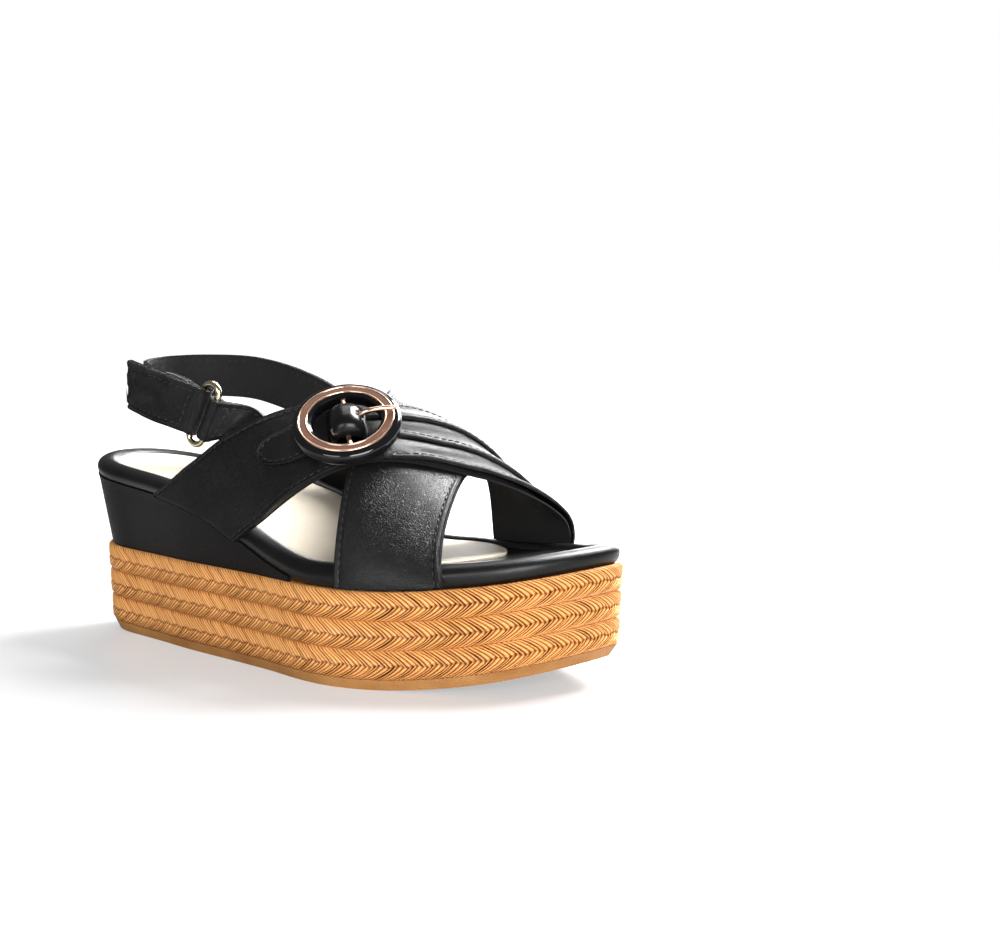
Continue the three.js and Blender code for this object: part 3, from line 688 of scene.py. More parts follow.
def seam(name, line, body="upper", place=None, samples=160):
    """Stitches along a line: line(s) gives a point and the way out of the leather, s from 0 to 1."""
    spots = [line(i / samples) for i in range(samples + 1)]
    bm = bmesh.new()
    travelled = 0.0
    due = STITCH_PITCH / 2
    for (here, out), (ahead, _) in zip(spots, spots[1:]):
        gap = (ahead - here).length
        while gap > 0 and travelled + gap >= due:
            centre = here.lerp(ahead, (due - travelled) / gap)
            way = (ahead - here).normalized()
            side = out.cross(way).normalized()
            turned = Matrix((way, side, way.cross(side))).transposed().to_4x4()
            shape = Matrix.Diagonal((STITCH_LENGTH / 2, THREAD, THREAD, 1))
            lean = Matrix.Rotation(math.radians(random.uniform(2, 7)), 4, "Z")
            bmesh.ops.create_uvsphere(bm, u_segments=6, v_segments=5, radius=1,
                                      matrix=Matrix.Translation(centre) @ turned @ lean @ shape)
            due += STITCH_PITCH
        travelled += gap
    return piece(name, bm, thread_finish, body, place=place)


def arch_line(edge, lift, start, end):
    """A seam's line on the arch: edge(t) gives x, and lift(t) the height of the leather."""
    def line(s):
        t = lerp(start, end, s)
        here = arch_point(edge(t), t, lift(t))
        out = arch_point(edge(t), t, lift(t) + 0.001) - here
        return here, out.normalized()

    return line


def beside(rear, front, side):
    """x of a line SEAM_INSET inside one edge of a strap; side is 0 at its rear, 1 at its front."""
    def edge(t):
        width = (arch_point(front(t), t, 0) - arch_point(rear(t), t, 0)).length
        share = SEAM_INSET / width
        return lerp(rear(t), front(t), 1 - share if side else share)

    return edge


SEAM_SINK = 0.0001


def strap_seams(name, rear, front, lift, end):
    """The seams along both edges of a strap on the arch."""
    for side, edge in enumerate(("rear", "front")):
        line = arch_line(beside(rear, front, side), lift, -0.99, end)
        seam(f"{name}_{edge}_seam", line)


strap_leather = leather("strap_leather", BLACK, BLACK_HIGH, 0.26, 0.4, 1300.0, 0.00007)
lining_leather = leather("lining_leather", (0.009, 0.009, 0.01, 1), (0.015, 0.015, 0.016, 1), 0.5, 0.7,
                         1600.0, 0.00008, shine=0.2)
UNDER_LIFT = 0.0011
under_lining = band(under_rear, under_front, lambda t, u: 0.0, STRAP_LINING, hems=(False, False))
piece("under_strap_lining_leather", slab(24, 70, under_lining, rim=0.0002), lining_leather,
      nodes=("under_strap_lining",))
under_top = band(under_rear, under_front, lambda t, u: UNDER_LIFT, STRAP_LEATHER, crease=0.0005)
piece("under_strap_leather", slab(56, 130, under_top, rim=0.0004), strap_leather,
      nodes=("under_strap",))
strap_seams("under_strap", under_rear, under_front, lambda t: UNDER_LIFT + STRAP_LEATHER - SEAM_SINK, 0.99)

# ---- Cross strap ----
# The upper strap crosses over the under strap. A plain panel comes up from the outer side of the heel;
# under the buckle, three overlapping pleats take over and fan out to the inner side of the toes.
GLUE_LINE = 0.0003
CROSS_RIDE = UNDER_LIFT + STRAP_LEATHER + GLUE_LINE
PANEL_END = -0.34
PLEAT_SHARES = (0, 0.33, 0.66, 1)
PLEAT_OVERLAP = 0.035
PLEAT_STEP = 0.0017


def ride(t):
    """Height of the cross strap above the arch, where the under strap passes below it."""
    return (CROSS_RIDE + 0.0004) * (1 - smoothstep(abs(t), 0.55, 0.9))


def upper_lift(t):
    return ride(t) + UNDER_LIFT


cross_lining = band(cross_rear, cross_front, lambda t, u: ride(t), STRAP_LINING, hems=(False, False))
piece("cross_strap_lining_leather", slab(24, 80, cross_lining, rim=0.0002), lining_leather,
      nodes=("cross_strap_lining",))
panel = band(cross_rear, cross_front, lambda t, u: upper_lift(t), STRAP_LEATHER, end=PANEL_END,
             crease=0.0006)
piece("quarter_panel_leather", slab(64, 90, panel, rim=0.0004), strap_leather,
      nodes=("quarter_panel",))
strap_seams("quarter", cross_rear, cross_front, lambda t: upper_lift(t) + STRAP_LEATHER - SEAM_SINK,
            PANEL_END - 0.01)


def between(share):
    return lambda t: lerp(cross_rear(t), cross_front(t), share)


def pleat_lift(t, u):
    """Height of a pleat: flat at its rear edge, raised over the next pleat at its folded front edge."""
    begun = smoothstep(t, PANEL_END, PANEL_END + 0.2)
    return upper_lift(t) + PLEAT_STEP * smoothstep(u, 0.25, 0.95) * begun


for i, name in enumerate(("pleat_rear", "pleat_middle", "pleat_front")):
    rear = between(PLEAT_SHARES[i] + (0.008 if i else 0))
    front = between(min(PLEAT_SHARES[i + 1] + PLEAT_OVERLAP, 1))
    folds = band(rear, front, pleat_lift, STRAP_LEATHER, start=PANEL_END + 0.004, hems=(i == 0, True),
                 crease=0.0004)
    piece(name + "_leather", slab(26, 110, folds, rim=0.0004), strap_leather,
          nodes=(name,))
    path = beside(rear, front, 1)
    seam(name + "_seam", arch_line(path, lambda t: pleat_lift(t, 0.9) + STRAP_LEATHER - 0.00005,
                                   PANEL_END + 0.02, 0.99))
    if i == 0:
        path = beside(rear, front, 0)
        seam(name + "_rear_seam", arch_line(path, lambda t: upper_lift(t) + STRAP_LEATHER - SEAM_SINK,
                                            PANEL_END + 0.02, 0.99))

# ---- Buckle tab ----
# A tongue of the same leather with a round end, stitched all round on the plain panel. It carries the
# strap on to the buckle.
TAB_WIDTH = 0.017
TAB_START = -0.68
TAB_END = -0.49
TAB_ROUND = 0.1


def cross_middle(t):
    return (cross_rear(t) + cross_front(t)) / 2


def tab_half(t, inset=0.0):
    past = min(max((t - TAB_START + 0.004 - inset * 8) / TAB_ROUND, 0), 1)
    return max((TAB_WIDTH / 2 - inset) * math.sqrt(1 - (1 - past) ** 2), 0.0003)


def tab_lift(t):
    return upper_lift(t) + STRAP_LEATHER + 0.0002


tab_shape = band(lambda t: cross_middle(t) - tab_half(t), lambda t: cross_middle(t) + tab_half(t),
                 lambda t, u: tab_lift(t), STRAP_LEATHER, TAB_START, TAB_END, crease=0.0003)
piece("buckle_tab_leather", slab(40, 44, tab_shape, rim=0.0004), strap_leather,
      nodes=("buckle_tab",))


def tab_line(s):
    """Up one side of the tab, round its end and down the other side."""
    turn = lerp(-1, 1, s)
    t = lerp(TAB_START + 0.012, TAB_END, min(abs(turn) ** 1.6, 1))
    x = cross_middle(t) + math.copysign(tab_half(t, 0.0019), turn) * smoothstep(abs(turn), 0, 0.18)
    lift = tab_lift(t) + STRAP_LEATHER - SEAM_SINK
    here = arch_point(x, t, lift)
    return here, (arch_point(x, t, lift + 0.001) - here).normalized()


seam("buckle_tab_seam", tab_line)

# ---- Ring buckle ----
# A polished black resin ring with a brown enamel inlay between two rose gold rims. A rose gold bar
# crosses it, a padded leather loop holds the bar, and the prong rests on the far side of the ring.
BUCKLE_T = -0.345
BUCKLE_LIFT = 0.0066
RING_RADIUS = 0.0205
RING_THICK = 0.0055
RING_HOLE = 0.013
BAR_RADIUS = 0.0012
BAR_HEIGHT = RING_THICK / 2
PRONG_RADIUS = 0.001
LOOP_WIDTH = 0.0158
INLAY_IN = 0.0144
INLAY_OUT = 0.0181
INLAY_TOP = RING_THICK + 0.0005
RIM_WIDTH = 0.0008
TURNS = 128
ROSE_GOLD = (0.93, 0.62, 0.44, 1)
TAUPE = (0.13, 0.055, 0.03, 1)
RESIN = (0.004, 0.004, 0.005, 1)
strap_way = (arch_point(cross_middle(BUCKLE_T + 0.02), BUCKLE_T + 0.02, 0)
             - arch_point(cross_middle(BUCKLE_T - 0.02), BUCKLE_T - 0.02, 0)).normalized()
length_way = (arch_point(cross_middle(BUCKLE_T) + 0.001, BUCKLE_T, 0)
              - arch_point(cross_middle(BUCKLE_T) - 0.001, BUCKLE_T, 0))
face_way = length_way.cross(strap_way).normalized()
bar_way = face_way.cross(strap_way)
buckle_turn = Matrix((strap_way, bar_way, face_way)).transposed().to_4x4()
buckle_seat = arch_point(cross_middle(BUCKLE_T), BUCKLE_T, 0) + face_way * BUCKLE_LIFT
buckle_place = Matrix.Translation(HEEL + buckle_seat) @ buckle_turn


def turned(profile, steps=TURNS):
    """A ring turned from a closed profile of (radius, height) corners."""
    bm = bmesh.new()
    corners = [bm.verts.new((radius, 0, height)) for radius, height in profile]
    edges = [bm.edges.new(pair) for pair in zip(corners, corners[1:] + corners[:1])]
    bmesh.ops.spin(bm, geom=corners + edges, cent=(0, 0, 0), axis=(0, 0, 1), angle=2 * math.pi,
                   steps=steps, use_merge=True)
    bmesh.ops.remove_doubles(bm, verts=bm.verts[:], dist=1e-6)
    return bm


def metal(name, color, roughness, scratch=0.00002):
    """Polished plating with faint handling marks."""
    plating = Finish(name, color, roughness, metallic=1.0)
    marks = plating.group(mottle, scale=120.0)
    plating.rough_between(marks.outputs["Patches"], roughness * 0.6, roughness * 1.5)
    plating.bump(marks.outputs["Patches"], scratch)
    return plating.material


resin = Finish("black_resin", RESIN, 0.08, coat_weight=0.2, coat_roughness=0.03)
resin_marks = resin.group(mottle, scale=70.0)
resin.rough_between(resin_marks.outputs["Patches"], 0.05, 0.12)
rose_gold = metal("rose_gold", ROSE_GOLD, 0.14)
enamel = Finish("brown_enamel", TAUPE, 0.25, specular_ior_level=0.25)
enamel_marks = enamel.group(mottle, scale=90.0)
taupe_dark = tuple(c * 0.8 for c in TAUPE[:3]) + (1,)
enamel.color_between(enamel_marks.outputs["Patches"], taupe_dark, TAUPE)
enamel.rough_between(enamel_marks.outputs["Patches"], 0.2, 0.32)


def rounded_corner(radius, height, size, quarter, steps=4):
    """Points of a quarter circle at a corner; quarter counts the quarter turns at which it starts."""
    return [(radius + size * math.cos(math.pi / 2 * (quarter + i / steps)),
             height + size * math.sin(math.pi / 2 * (quarter + i / steps))) for i in range(steps + 1)]


ring_profile = [(RING_HOLE + 0.0008, 0.0), (RING_RADIUS - 0.0014, 0.0), (RING_RADIUS - 0.0002, 0.0009),
                (RING_RADIUS, 0.0018), *rounded_corner(RING_RADIUS - 0.0016, RING_THICK - 0.0018, 0.0016, 0),
                (INLAY_OUT + 0.0001, RING_THICK), (INLAY_OUT + 0.0001, RING_THICK - 0.0008),
                (INLAY_IN - 0.0001, RING_THICK - 0.0008), (INLAY_IN - 0.0001, RING_THICK - 0.0002),
                (RING_HOLE + 0.0003, RING_THICK - 0.0006), (RING_HOLE, RING_THICK - 0.0014),
                (RING_HOLE, 0.001)]
piece("buckle_ring", turned(ring_profile), resin.material, "buckle", ("buckle_frame",),
      buckle_place)
inlay_floor = RING_THICK - 0.0007
inlay_profile = [(INLAY_IN + RIM_WIDTH, inlay_floor), (INLAY_OUT - RIM_WIDTH, inlay_floor),
                 (INLAY_OUT - RIM_WIDTH, INLAY_TOP - 0.0002), (INLAY_IN + RIM_WIDTH, INLAY_TOP - 0.0002)]
piece("buckle_inlay_enamel", turned(inlay_profile), enamel.material, "buckle",
      ("buckle_inlay",), buckle_place)
for name, low in (("buckle_rim_inner", INLAY_IN), ("buckle_rim_outer", INLAY_OUT - RIM_WIDTH)):
    rim_profile = [(low, inlay_floor), (low + RIM_WIDTH, inlay_floor)]
    rim_profile += rounded_corner(low + RIM_WIDTH / 2, INLAY_TOP - RIM_WIDTH / 2, RIM_WIDTH / 2, 0, 3)
    rim_profile += rounded_corner(low + RIM_WIDTH / 2, INLAY_TOP - RIM_WIDTH / 2, RIM_WIDTH / 2, 1, 3)[1:]
    piece(name, turned(rim_profile), rose_gold, "buckle", (), buckle_place)

bar_bm = bmesh.new()
bmesh.ops.create_cone(bar_bm, cap_ends=True, segments=32, radius1=BAR_RADIUS, radius2=BAR_RADIUS,
                      depth=2 * RING_HOLE - 0.0002,
                      matrix=Matrix.Translation((0, 0, BAR_HEIGHT)) @ Matrix.Rotation(math.pi / 2, 4, "X"))
piece("buckle_bar_rod", bar_bm, rose_gold, "buckle", ("buckle_bar",), buckle_place)

LOOP_FOOT = -0.0009
LOOP_TOP = 0.0092
LOOP_REACH = 0.0076
loop_leather = leather("loop_leather", BLACK, BLACK_HIGH, 0.18, 0.24, 1300.0, 0.00001)


def loop_place(u, v):
    """The padded loop: a dome over the bar, with its sides and ends drawn in and closed underneath."""
    around = math.pi * (1.06 - 1.12 * u)
    end = 2 * v - 1
    pinch = math.sqrt(max(1 - abs(end) ** 3.2, 0))
    x = LOOP_REACH * math.cos(around) * (0.7 + 0.3 * pinch)
    rise = max(math.sin(around), -0.2) ** 0.8 if math.sin(around) > 0 else math.sin(around)
    z = LOOP_FOOT + (LOOP_TOP - LOOP_FOOT) * rise * (0.45 + 0.55 * pinch)
    y = (LOOP_WIDTH / 2) * end
    groove = math.exp(-(y / 0.0015) ** 2) * smoothstep(x, 0.002, 0.006)
    z -= 0.0012 * groove * pinch
    return Vector((x, y, z + creased(Vector((x, y, z)), 0.0003, 0.006)))


loop_bm = skin(40, 30, loop_place)
loop_holes = [edge for edge in loop_bm.edges if edge.is_boundary]
bmesh.ops.holes_fill(loop_bm, edges=loop_holes, sides=0)
loop = piece("buckle_loop_pad", loop_bm, loop_leather, nodes=("buckle_loop",),
             place=buckle_place)

EYE_RADIUS = 0.0027
PRONG_REST = INLAY_TOP + 0.0004 + PRONG_RADIUS


def tube(points, radius, sides=12):
    """A round rod through points, swept with a constant section and closed by domed ends."""
    bm = bmesh.new()
    up = Vector((0, 1, 0))
    rings = []
    stations = [(points[0], points[1] - points[0], share) for share in (0.3, 0.75)]
    for i, point in enumerate(points):
        stations.append((point, points[min(i + 1, len(points) - 1)] - points[max(i - 1, 0)], 1.0))
    stations += [(points[-1], points[-1] - points[-2], share) for share in (0.75, 0.3)]
    for i, (spot, way, share) in enumerate(stations):
        way = way.normalized()
        outward = math.sqrt(1 - share ** 2) * radius
        shift = way * (outward if i > len(points) else -outward)
        side = up.cross(way).normalized()
        turned_to = Matrix((side, way.cross(side), way)).transposed().to_4x4()
        ring = bmesh.ops.create_circle(bm, segments=sides, radius=radius * share,
                                       matrix=Matrix.Translation(spot + shift) @ turned_to)["verts"]
        rings.append(ring)
    for lower, upper in zip(rings, rings[1:]):
        sides_of = [edge for ring in (lower, upper) for edge in {e for v in ring for e in v.link_edges}
                    if all(v in ring for v in edge.verts)]
        bmesh.ops.bridge_loops(bm, edges=sides_of)
    bmesh.ops.holes_fill(bm, edges=[edge for edge in bm.edges if edge.is_boundary], sides=0)
    return bm


def curve_through(points):
    """A smooth curve through the points, as a function of 0 to 1."""
    ends = [2 * points[0] - points[1], *points, 2 * points[-1] - points[-2]]

    def at(s):
        place = min(max(s, 0), 1) * (len(points) - 1)
        i = min(int(place), len(points) - 2)
        w = place - i
        p0, p1, p2, p3 = ends[i:i + 4]
        a, b, c = ((q - p).length ** 0.5 for p, q in ((p0, p1), (p1, p2), (p2, p3)))
        start = ((p1 - p0) / a - (p2 - p0) / (a + b) + (p2 - p1) / b) * b
        end = ((p2 - p1) / b - (p3 - p1) / (b + c) + (p3 - p2) / c) * b
        bend = (3 * (p2 - p1) - 2 * start - end) * w * w
        return p1 + start * w + bend + (2 * (p1 - p2) + start + end) * w ** 3

    return at


prong_route = ((0.0021, BAR_HEIGHT + 0.001), (0.007, PRONG_REST - 0.0002), (0.012, PRONG_REST + 0.0005),
               (RING_RADIUS - 0.0026, PRONG_REST))
prong_curve = curve_through([Vector((x, 0, z)) for x, z in prong_route])
prong_bm = tube([prong_curve(i / 18) for i in range(19)], PRONG_RADIUS)
piece("prong_pin", prong_bm, rose_gold, "prong", ("buckle_prong",), buckle_place)
eye_bm = turned([(BAR_RADIUS + 0.0002, -PRONG_RADIUS), (EYE_RADIUS - 0.0003, -PRONG_RADIUS),
                 (EYE_RADIUS, -PRONG_RADIUS + 0.0003), (EYE_RADIUS, PRONG_RADIUS - 0.0003),
                 (EYE_RADIUS - 0.0003, PRONG_RADIUS), (BAR_RADIUS + 0.0002, PRONG_RADIUS)], 40)
bmesh.ops.rotate(eye_bm, verts=eye_bm.verts[:], cent=(0, 0, 0), matrix=Matrix.Rotation(math.pi / 2, 3, "X"))
bmesh.ops.translate(eye_bm, verts=eye_bm.verts[:], vec=(0, 0, BAR_HEIGHT))
piece("prong_eye", eye_bm, rose_gold, "prong", (), buckle_place)

# ---- Heel sling ----
# A lined leather strap runs from under the inner side of the cross strap round the heel to an oval
# ring on the outer side, passes through it, and closes on itself with a hook-and-loop tail.
SLING_WIDTH = 0.0175
SLING_LEATHER = 0.0012
SLING_LINING = 0.0008
TAIL_LENGTH = 0.035
TAIL_LEATHER = 0.0018
PATCH = 0.0008
OVAL_STRAIGHT = 0.018
OVAL_RADIUS = 0.004
WIRE_RADIUS = 0.0013
LOOP_IN = WIRE_RADIUS + 0.0003
TUCK_LIFT = -0.0018
TUCK_T = 0.61
TUCK_X = 0.43 * SOLE_LENGTH
PALE_GOLD = (0.88, 0.76, 0.5, 1)
UP = Vector((0, 0, 1))


def sling_point(x, y, rise):
    """A point by its share of the length, its share of the half width and its height over the wedge."""
    return Vector((x * SOLE_LENGTH, y * SOLE_HALF, HEEL_HEIGHT + rise))


oval_centre = sling_point(0.338, -0.74, 0.030)
oval_across = Vector((0.89, 0.02, -0.44)).normalized()
oval_out = oval_across.cross(UP).normalized()
oval_up = oval_out.cross(oval_across)
ring_side = oval_centre - oval_across * (OVAL_RADIUS + LOOP_IN)
sling_route = ((0.33, 0.6, 0.034), (0.21, 0.54, 0.041), (0.13, 0.34, 0.042), (0.098, 0, 0.0415),
               (0.125, -0.35, 0.0405), (0.2, -0.6, 0.0382))
sling_middle = [sling_point(*spot) for spot in sling_route]
sling_middle += [ring_side - oval_across * 0.008, ring_side]


def sling_up(i):
    """The sling's upward direction at one of its points, square to its way."""
    way = sling_middle[min(i + 1, len(sling_middle) - 1)] - sling_middle[max(i - 1, 0)]
    return (UP - way * (UP.dot(way) / way.length_squared)).normalized()


def sling_edge(side):
    start = arch_point(TUCK_X + side * 0.007, TUCK_T - side * 0.085, TUCK_LIFT)
    return [start] + [p + sling_up(i) * (side * SLING_WIDTH / 2) for i, p in enumerate(sling_middle)]


def ribbon(low, high, inside, outside, start=0.0, end=1.0, hem=0.0, crease=0.0, size=0.008):
    """place() for a strip between two edge curves, u along it and v up it. w runs outwards."""
    low_edge, high_edge = curve_through(low), curve_through(high)

    def place(u, v, w):
        s = lerp(start, end, u)
        up = high_edge(s) - low_edge(s)
        step = 0.002
        low_way = low_edge(s + step) - low_edge(s - step)
        high_way = high_edge(s + step) - high_edge(s - step)
        out = low_way.lerp(high_way, v).cross(up).normalized()
        spot = low_edge(s) + up * v
        rise = lerp(inside, outside, w)
        if w > 0.5:
            for near in (v * up.length, (1 - v) * up.length):
                rise += hem * (math.exp(-((near - 0.0008) / 0.0008) ** 2)
                               - 0.8 * math.exp(-((near - SEAM_INSET) / 0.0006) ** 2))
            rise += creased(spot, crease, size)
        return spot + out * rise

    return place


def ribbon_line(place, v, start=0.01, end=0.99, depth=0.00005):
    """A seam's line on a ribbon, at v up it."""
    def line(s):
        u = lerp(start, end, s)
        here, under = place(u, v, 1), place(u, v, 0)
        out = (here - under).normalized()
        return here - out * depth, out

    return line


SEAM_SHARE = 0.12  # of a ribbon's width, from its edge to the seam
RIBBON_SEAMS = (("low", SEAM_SHARE), ("high", 1 - SEAM_SHARE))


def ribbon_seams(name, shape, start, end, body):
    """The seams along both edges of a ribbon."""
    return [seam(f"{name}_{edge}_seam", ribbon_line(shape, v, start, end), body) for edge, v in RIBBON_SEAMS]


def cross_seam(name, shape, u, body):
    """A short seam straight across a ribbon."""
    line = lambda s: ribbon_line(shape, lerp(0.14, 0.86, s))(u)
    return seam(name + "_cross_seam", line, body, samples=40)


sling_low, sling_high = sling_edge(-1), sling_edge(1)
sling_shape = ribbon(sling_low, sling_high, 0.0, SLING_LEATHER, hem=0.00025, crease=0.0004)
piece("sling_leather", slab(200, 22, sling_shape, rim=0.0004), strap_leather, "sling",
      ("sling_strap",))
lining_shape = ribbon(sling_low, sling_high, -0.0001, -SLING_LINING - 0.0001, end=0.985, hem=-0.0003)
piece("sling_lining_leather", slab(190, 12, lining_shape, rim=0.0002), lining_leather,
      "sling", ("sling_lining",))
ribbon_seams("sling", sling_shape, 0.02, 0.97, "sling")
ribbon_seams("sling_inner", lining_shape, 0.02, 0.97, "sling")

oval_turn = Matrix((oval_across, oval_up, oval_out)).transposed().to_4x4()
oval_place = Matrix.Translation(oval_centre) @ oval_turn
oval_bm = turned([(OVAL_RADIUS + WIRE_RADIUS * math.cos(2 * math.pi * i / 16),
                   WIRE_RADIUS * math.sin(2 * math.pi * i / 16)) for i in range(16)], 64)
for vert in oval_bm.verts:
    vert.co.y += math.copysign(OVAL_STRAIGHT / 2, vert.co.y) if abs(vert.co.y) > 1e-6 else 0
pale_gold = metal("pale_gold", PALE_GOLD, 0.12)
piece("oval_ring_wire", oval_bm, pale_gold, "oval_ring", ("sling_ring",),
      Matrix.Translation(HEEL) @ oval_place)

# ---- Sling tail ----
# The sling's free end, folded back through the ring and laid on the outside of the sling. It is cut
# square, creased from use, and held by a pad of hook tape on one of loop tape.
tail_end = sling_point(0.146, -0.69, 0.0425)
tail_way = (tail_end - ring_side).normalized()
TAIL_BOW = 0.001
TAIL_WIDTH = 0.0192
STACK_OUT = SLING_LEATHER + 0.0002
TAIL_INSIDE = STACK_OUT + 2 * PATCH + 0.0002


def tail_point(distance, side, out):
    up = oval_up.lerp(UP, distance / TAIL_LENGTH).normalized()
    return ring_side + tail_way * distance + up * (side * TAIL_WIDTH / 2) + oval_out * out


def tail_edge(side):
    route = ((TAIL_LENGTH, 0), (TAIL_LENGTH / 2, TAIL_BOW), (0.001, 0))
    return [tail_point(distance, side, out) for distance, out in route]


tail_low, tail_high = tail_edge(-1), tail_edge(1)
tail_ribbon = ribbon(tail_low, tail_high, TAIL_INSIDE, TAIL_INSIDE + TAIL_LEATHER, hem=0.0002, crease=0.0005,
                     size=0.006)
WRAP_SHARE = 0.2  # of the tail's mesh that lies round the ring's side
WRAP_IN = LOOP_IN + 0.0006
WRAP_LEATHER = 0.0012
WRAP_TURN = math.radians(200)
rear_bar = oval_centre - oval_across * OVAL_RADIUS


def tail_shape(u, v, w):
    """The tail, with soft cross creases, and its front end wrapped round the ring's rear side."""
    lie = min(u / (1 - WRAP_SHARE), 1)
    spot = tail_ribbon(lie, v, w)
    distance = (1 - lie) * TAIL_LENGTH
    wave = 0.0005 * math.sin(distance / 0.0017 + 1.8 * v) * math.exp(-distance / 0.011)
    spot += oval_out * wave
    angle = WRAP_TURN * max(u - (1 - WRAP_SHARE), 0) / WRAP_SHARE
    radius = WRAP_IN + WRAP_LEATHER * w
    wrapped = rear_bar + oval_out * (radius * math.cos(angle)) + oval_across * (radius * math.sin(angle))
    wrapped += oval_up * ((v - 0.5) * TAIL_WIDTH)
    return spot.lerp(wrapped, smoothstep(lie, 0.72, 1.0))


def peeling(made):
    """Bakes a tail piece's placement into its mesh."""
    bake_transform(made)


peeling(piece("sling_tail_leather", slab(110, 26, tail_shape, rim=0.0004), strap_leather,
              None, ("sling_tail",)))
for made in ribbon_seams("tail", tail_shape, 0.01, 0.72, None):
    peeling(made)
peeling(cross_seam("tail", tail_shape, 0.7, None))

tape = Finish("hook_tape", (0.01, 0.01, 0.011, 1), 0.9, sheen_weight=0.3)
hooks = tape.add("ShaderNodeTexVoronoi")
hooks.inputs["Scale"].default_value = 1500.0
tape_where = tape.add("ShaderNodeTexCoord")
tape.join(tape_where.outputs["Object"], hooks.inputs["Vector"])
tape.color_between(hooks.outputs["Distance"], (0.03, 0.03, 0.032, 1), (0.006, 0.006, 0.007, 1))
tape.bump(hooks.outputs["Distance"], -0.0004)
loop_tape = ribbon(sling_low, sling_high, STACK_OUT, STACK_OUT + PATCH, start=0.82, end=0.93)
piece("loop_tape", slab(30, 8, loop_tape, rim=0.0002), tape.material, "sling", ("loop_patch",))
hook_route = ((0.028, 0.0007), (0.017, TAIL_BOW), (0.006, 0.0006))
hook_low, hook_high = ([tail_point(distance, side, out) for distance, out in hook_route]
                       for side in (-0.85, 0.85))
hook_shape = ribbon(hook_low, hook_high, TAIL_INSIDE - PATCH, TAIL_INSIDE - 0.0001)
piece("hook_tape_pad", slab(30, 8, hook_shape, rim=0.0002), tape.material, "tail",
      ("hook_patch",))

# ---- Ring tab ----
# A folded leather tab holds the front side of the oval ring. Its two layers are stitched together and
# caught between the cross strap and its lining.
TAB_LEATHER = 0.002
front_side = oval_centre + oval_across * (OVAL_RADIUS + LOOP_IN)


def ring_tab_edge(side):
    return [front_side + oval_up * (side * SLING_WIDTH / 2),
            arch_point(0.405 * SOLE_LENGTH + side * 0.003, -0.6 + side * 0.09, TUCK_LIFT - TAB_LEATHER),
            arch_point(0.455 * SOLE_LENGTH + side * 0.004, -0.605 + side * 0.085, TUCK_LIFT - TAB_LEATHER)]


def ring_fold():
    """Leather folded round the front straight side of the oval ring: a short tube with rounded rims."""
    half, outside, round_by = SLING_WIDTH / 2, LOOP_IN + 0.0016, 0.0004
    bm = turned([(LOOP_IN, -half), (outside - round_by, -half), (outside, -half + round_by),
                 (outside, half - round_by), (outside - round_by, half), (LOOP_IN, half)], 40)
    bmesh.ops.rotate(bm, verts=bm.verts[:], cent=(0, 0, 0), matrix=Matrix.Rotation(math.pi / 2, 3, "X"))
    bmesh.ops.translate(bm, verts=bm.verts[:], vec=(OVAL_RADIUS, 0, 0))
    return bm


ring_tab_shape = ribbon(ring_tab_edge(-1), ring_tab_edge(1), 0.0, TAB_LEATHER, hem=0.0002, crease=0.0004)
piece("ring_tab_leather", slab(60, 22, ring_tab_shape, rim=0.0004), strap_leather, "sling",
      ("ring_tab",))
piece("ring_tab_fold", ring_fold(), strap_leather, "sling", (),
      Matrix.Translation(HEEL) @ oval_place)
ribbon_seams("ring_tab", ring_tab_shape, 0.05, 0.9, "sling")
cross_seam("ring_tab", ring_tab_shape, 0.14, "sling")

# ---- Studio ----
# A pale floor that fades to white away from the sandal, dim even light from all round, five soft
# lights that the camera doesn't see, and the camera.
floor_bm = bmesh.new()
bmesh.ops.create_grid(floor_bm, x_segments=1, y_segments=1, size=6)
floor_mesh = bpy.data.meshes.new("floor")
floor_bm.to_mesh(floor_mesh)
floor_bm.free()
floor = bpy.data.objects.new("floor", floor_mesh)
bpy.context.scene.collection.objects.link(floor)
AMBIENT = 0.14
paper = Finish("pale_floor", (0.36, 0.36, 0.363, 1), 0.4)
paper_where = paper.add("ShaderNodeTexCoord")
paper_spread = paper.add("ShaderNodeVectorMath", operation="LENGTH")
paper_fade = paper.add("ShaderNodeMapRange")
paper_fade.inputs["From Min"].default_value = 0.1
paper_fade.inputs["From Max"].default_value = 0.9
paper_fade.inputs["To Min"].default_value = 0.46
paper_seen = paper.add("ShaderNodeLightPath")
paper_glow = paper.add("ShaderNodeMath", operation="MULTIPLY")
paper.join(paper_where.outputs["Object"], paper_spread.inputs[0])
paper.join(paper_spread.outputs["Value"], paper_fade.inputs["Value"])
paper.join(paper_fade.outputs["Result"], paper_glow.inputs[0])
paper.join(paper_seen.outputs["Is Camera Ray"], paper_glow.inputs[1])
paper.join(paper_glow.outputs[0], paper.shader.inputs["Emission Strength"])
paper.shader.inputs["Emission Color"].default_value = (1, 1, 1, 1)
floor_mesh.materials.append(paper.material)

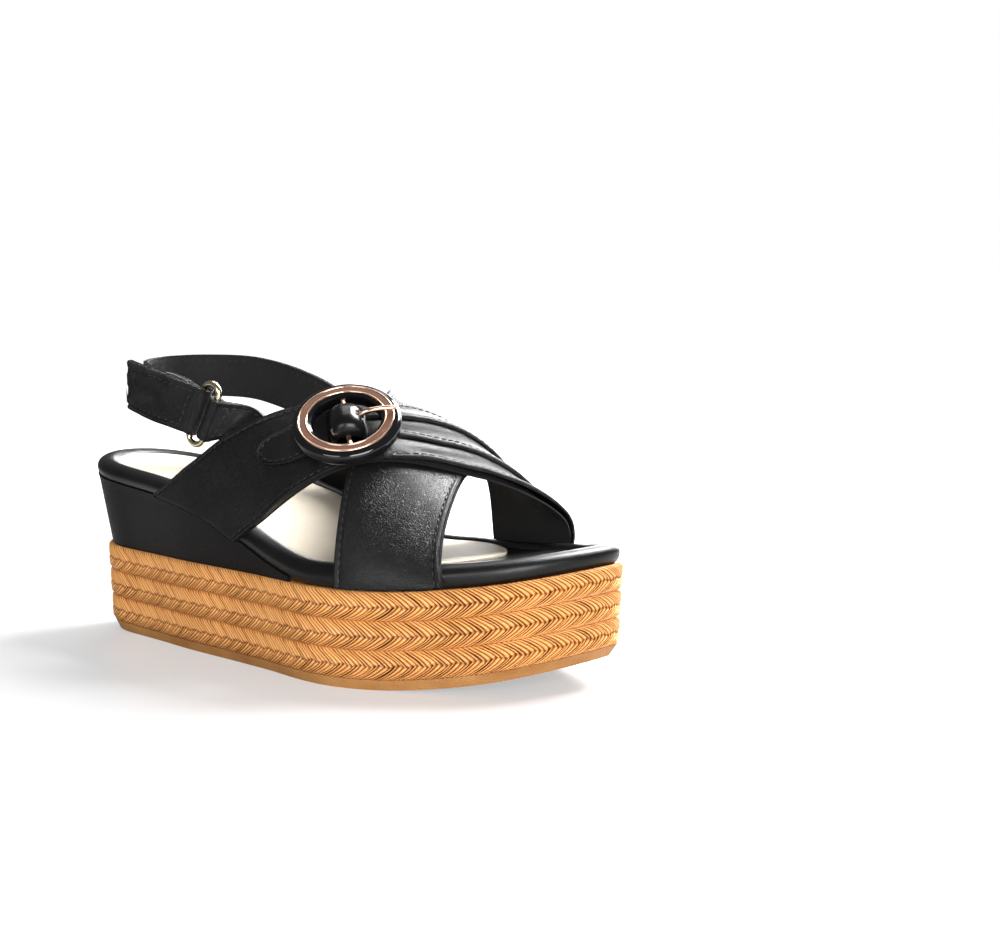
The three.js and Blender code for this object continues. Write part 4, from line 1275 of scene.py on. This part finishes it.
world = bpy.data.worlds.new("studio")
bpy.context.scene.world = world
world.use_nodes = True
sky = world.node_tree
dim = sky.nodes["Background"]
dim.inputs["Color"].default_value = (1, 1, 1, 1)
dim.inputs["Strength"].default_value = AMBIENT
white = sky.nodes.new("ShaderNodeBackground")
seen = sky.nodes.new("ShaderNodeLightPath")
either = sky.nodes.new("ShaderNodeMixShader")
sky.links.new(seen.outputs["Is Camera Ray"], either.inputs[0])
sky.links.new(dim.outputs[0], either.inputs[1])
sky.links.new(white.outputs[0], either.inputs[2])
sky.links.new(either.outputs[0], sky.nodes["World Output"].inputs["Surface"])
white.inputs["Color"].default_value = (1, 1, 1, 1)


def softbox(name, spot, target, size, power):
    data = bpy.data.lights.new(name, "AREA")
    data.shape = "RECTANGLE"
    data.size, data.size_y = size
    data.energy = power
    light = bpy.data.objects.new(name, data)
    light.location = spot
    light.visible_camera = False
    light.rotation_euler = (Vector(target) - Vector(spot)).to_track_quat("-Z", "Y").to_euler()
    bpy.context.scene.collection.objects.link(light)


for name, spot, target, size, watts in (
        ("window", (0.17, 0.82, 1.05), (0.05, 0, 0.06), (0.55, 0.7), 50),
        ("back", (-0.45, 1.25, 0.42), (0, 0, 0.06), (1.0, 0.55), 14),
        ("top", (-0.3, 0.3, 1.2), (0, 0, 0.06), (0.5, 0.5), 3),
        ("right", (1.1, -0.75, 0.35), (0, 0, 0.04), (0.8, 0.6), 17),
        ("front", (0.3, -1.6, 0.5), (0, 0, 0.04), (0.7, 0.5), 7)):
    softbox(name + "_softbox", spot, target, size, watts)

bpy.context.scene.view_settings.view_transform = "Standard"
camera_data = bpy.data.cameras.new("camera")
LENS = 64.3  # in millimetres, as the sensor is
SENSOR_WIDTH = 36
camera_data.lens = LENS
camera_data.sensor_width = SENSOR_WIDTH
camera = bpy.data.objects.new("camera", camera_data)
camera.location = HEEL + Vector((0.5816, -0.5357, 0.1423))
camera.rotation_euler = Vector((-0.5794, 0.8094, -0.0958)).to_track_quat("-Z", "Y").to_euler()
bpy.context.scene.collection.objects.link(camera)
bpy.context.scene.camera = camera
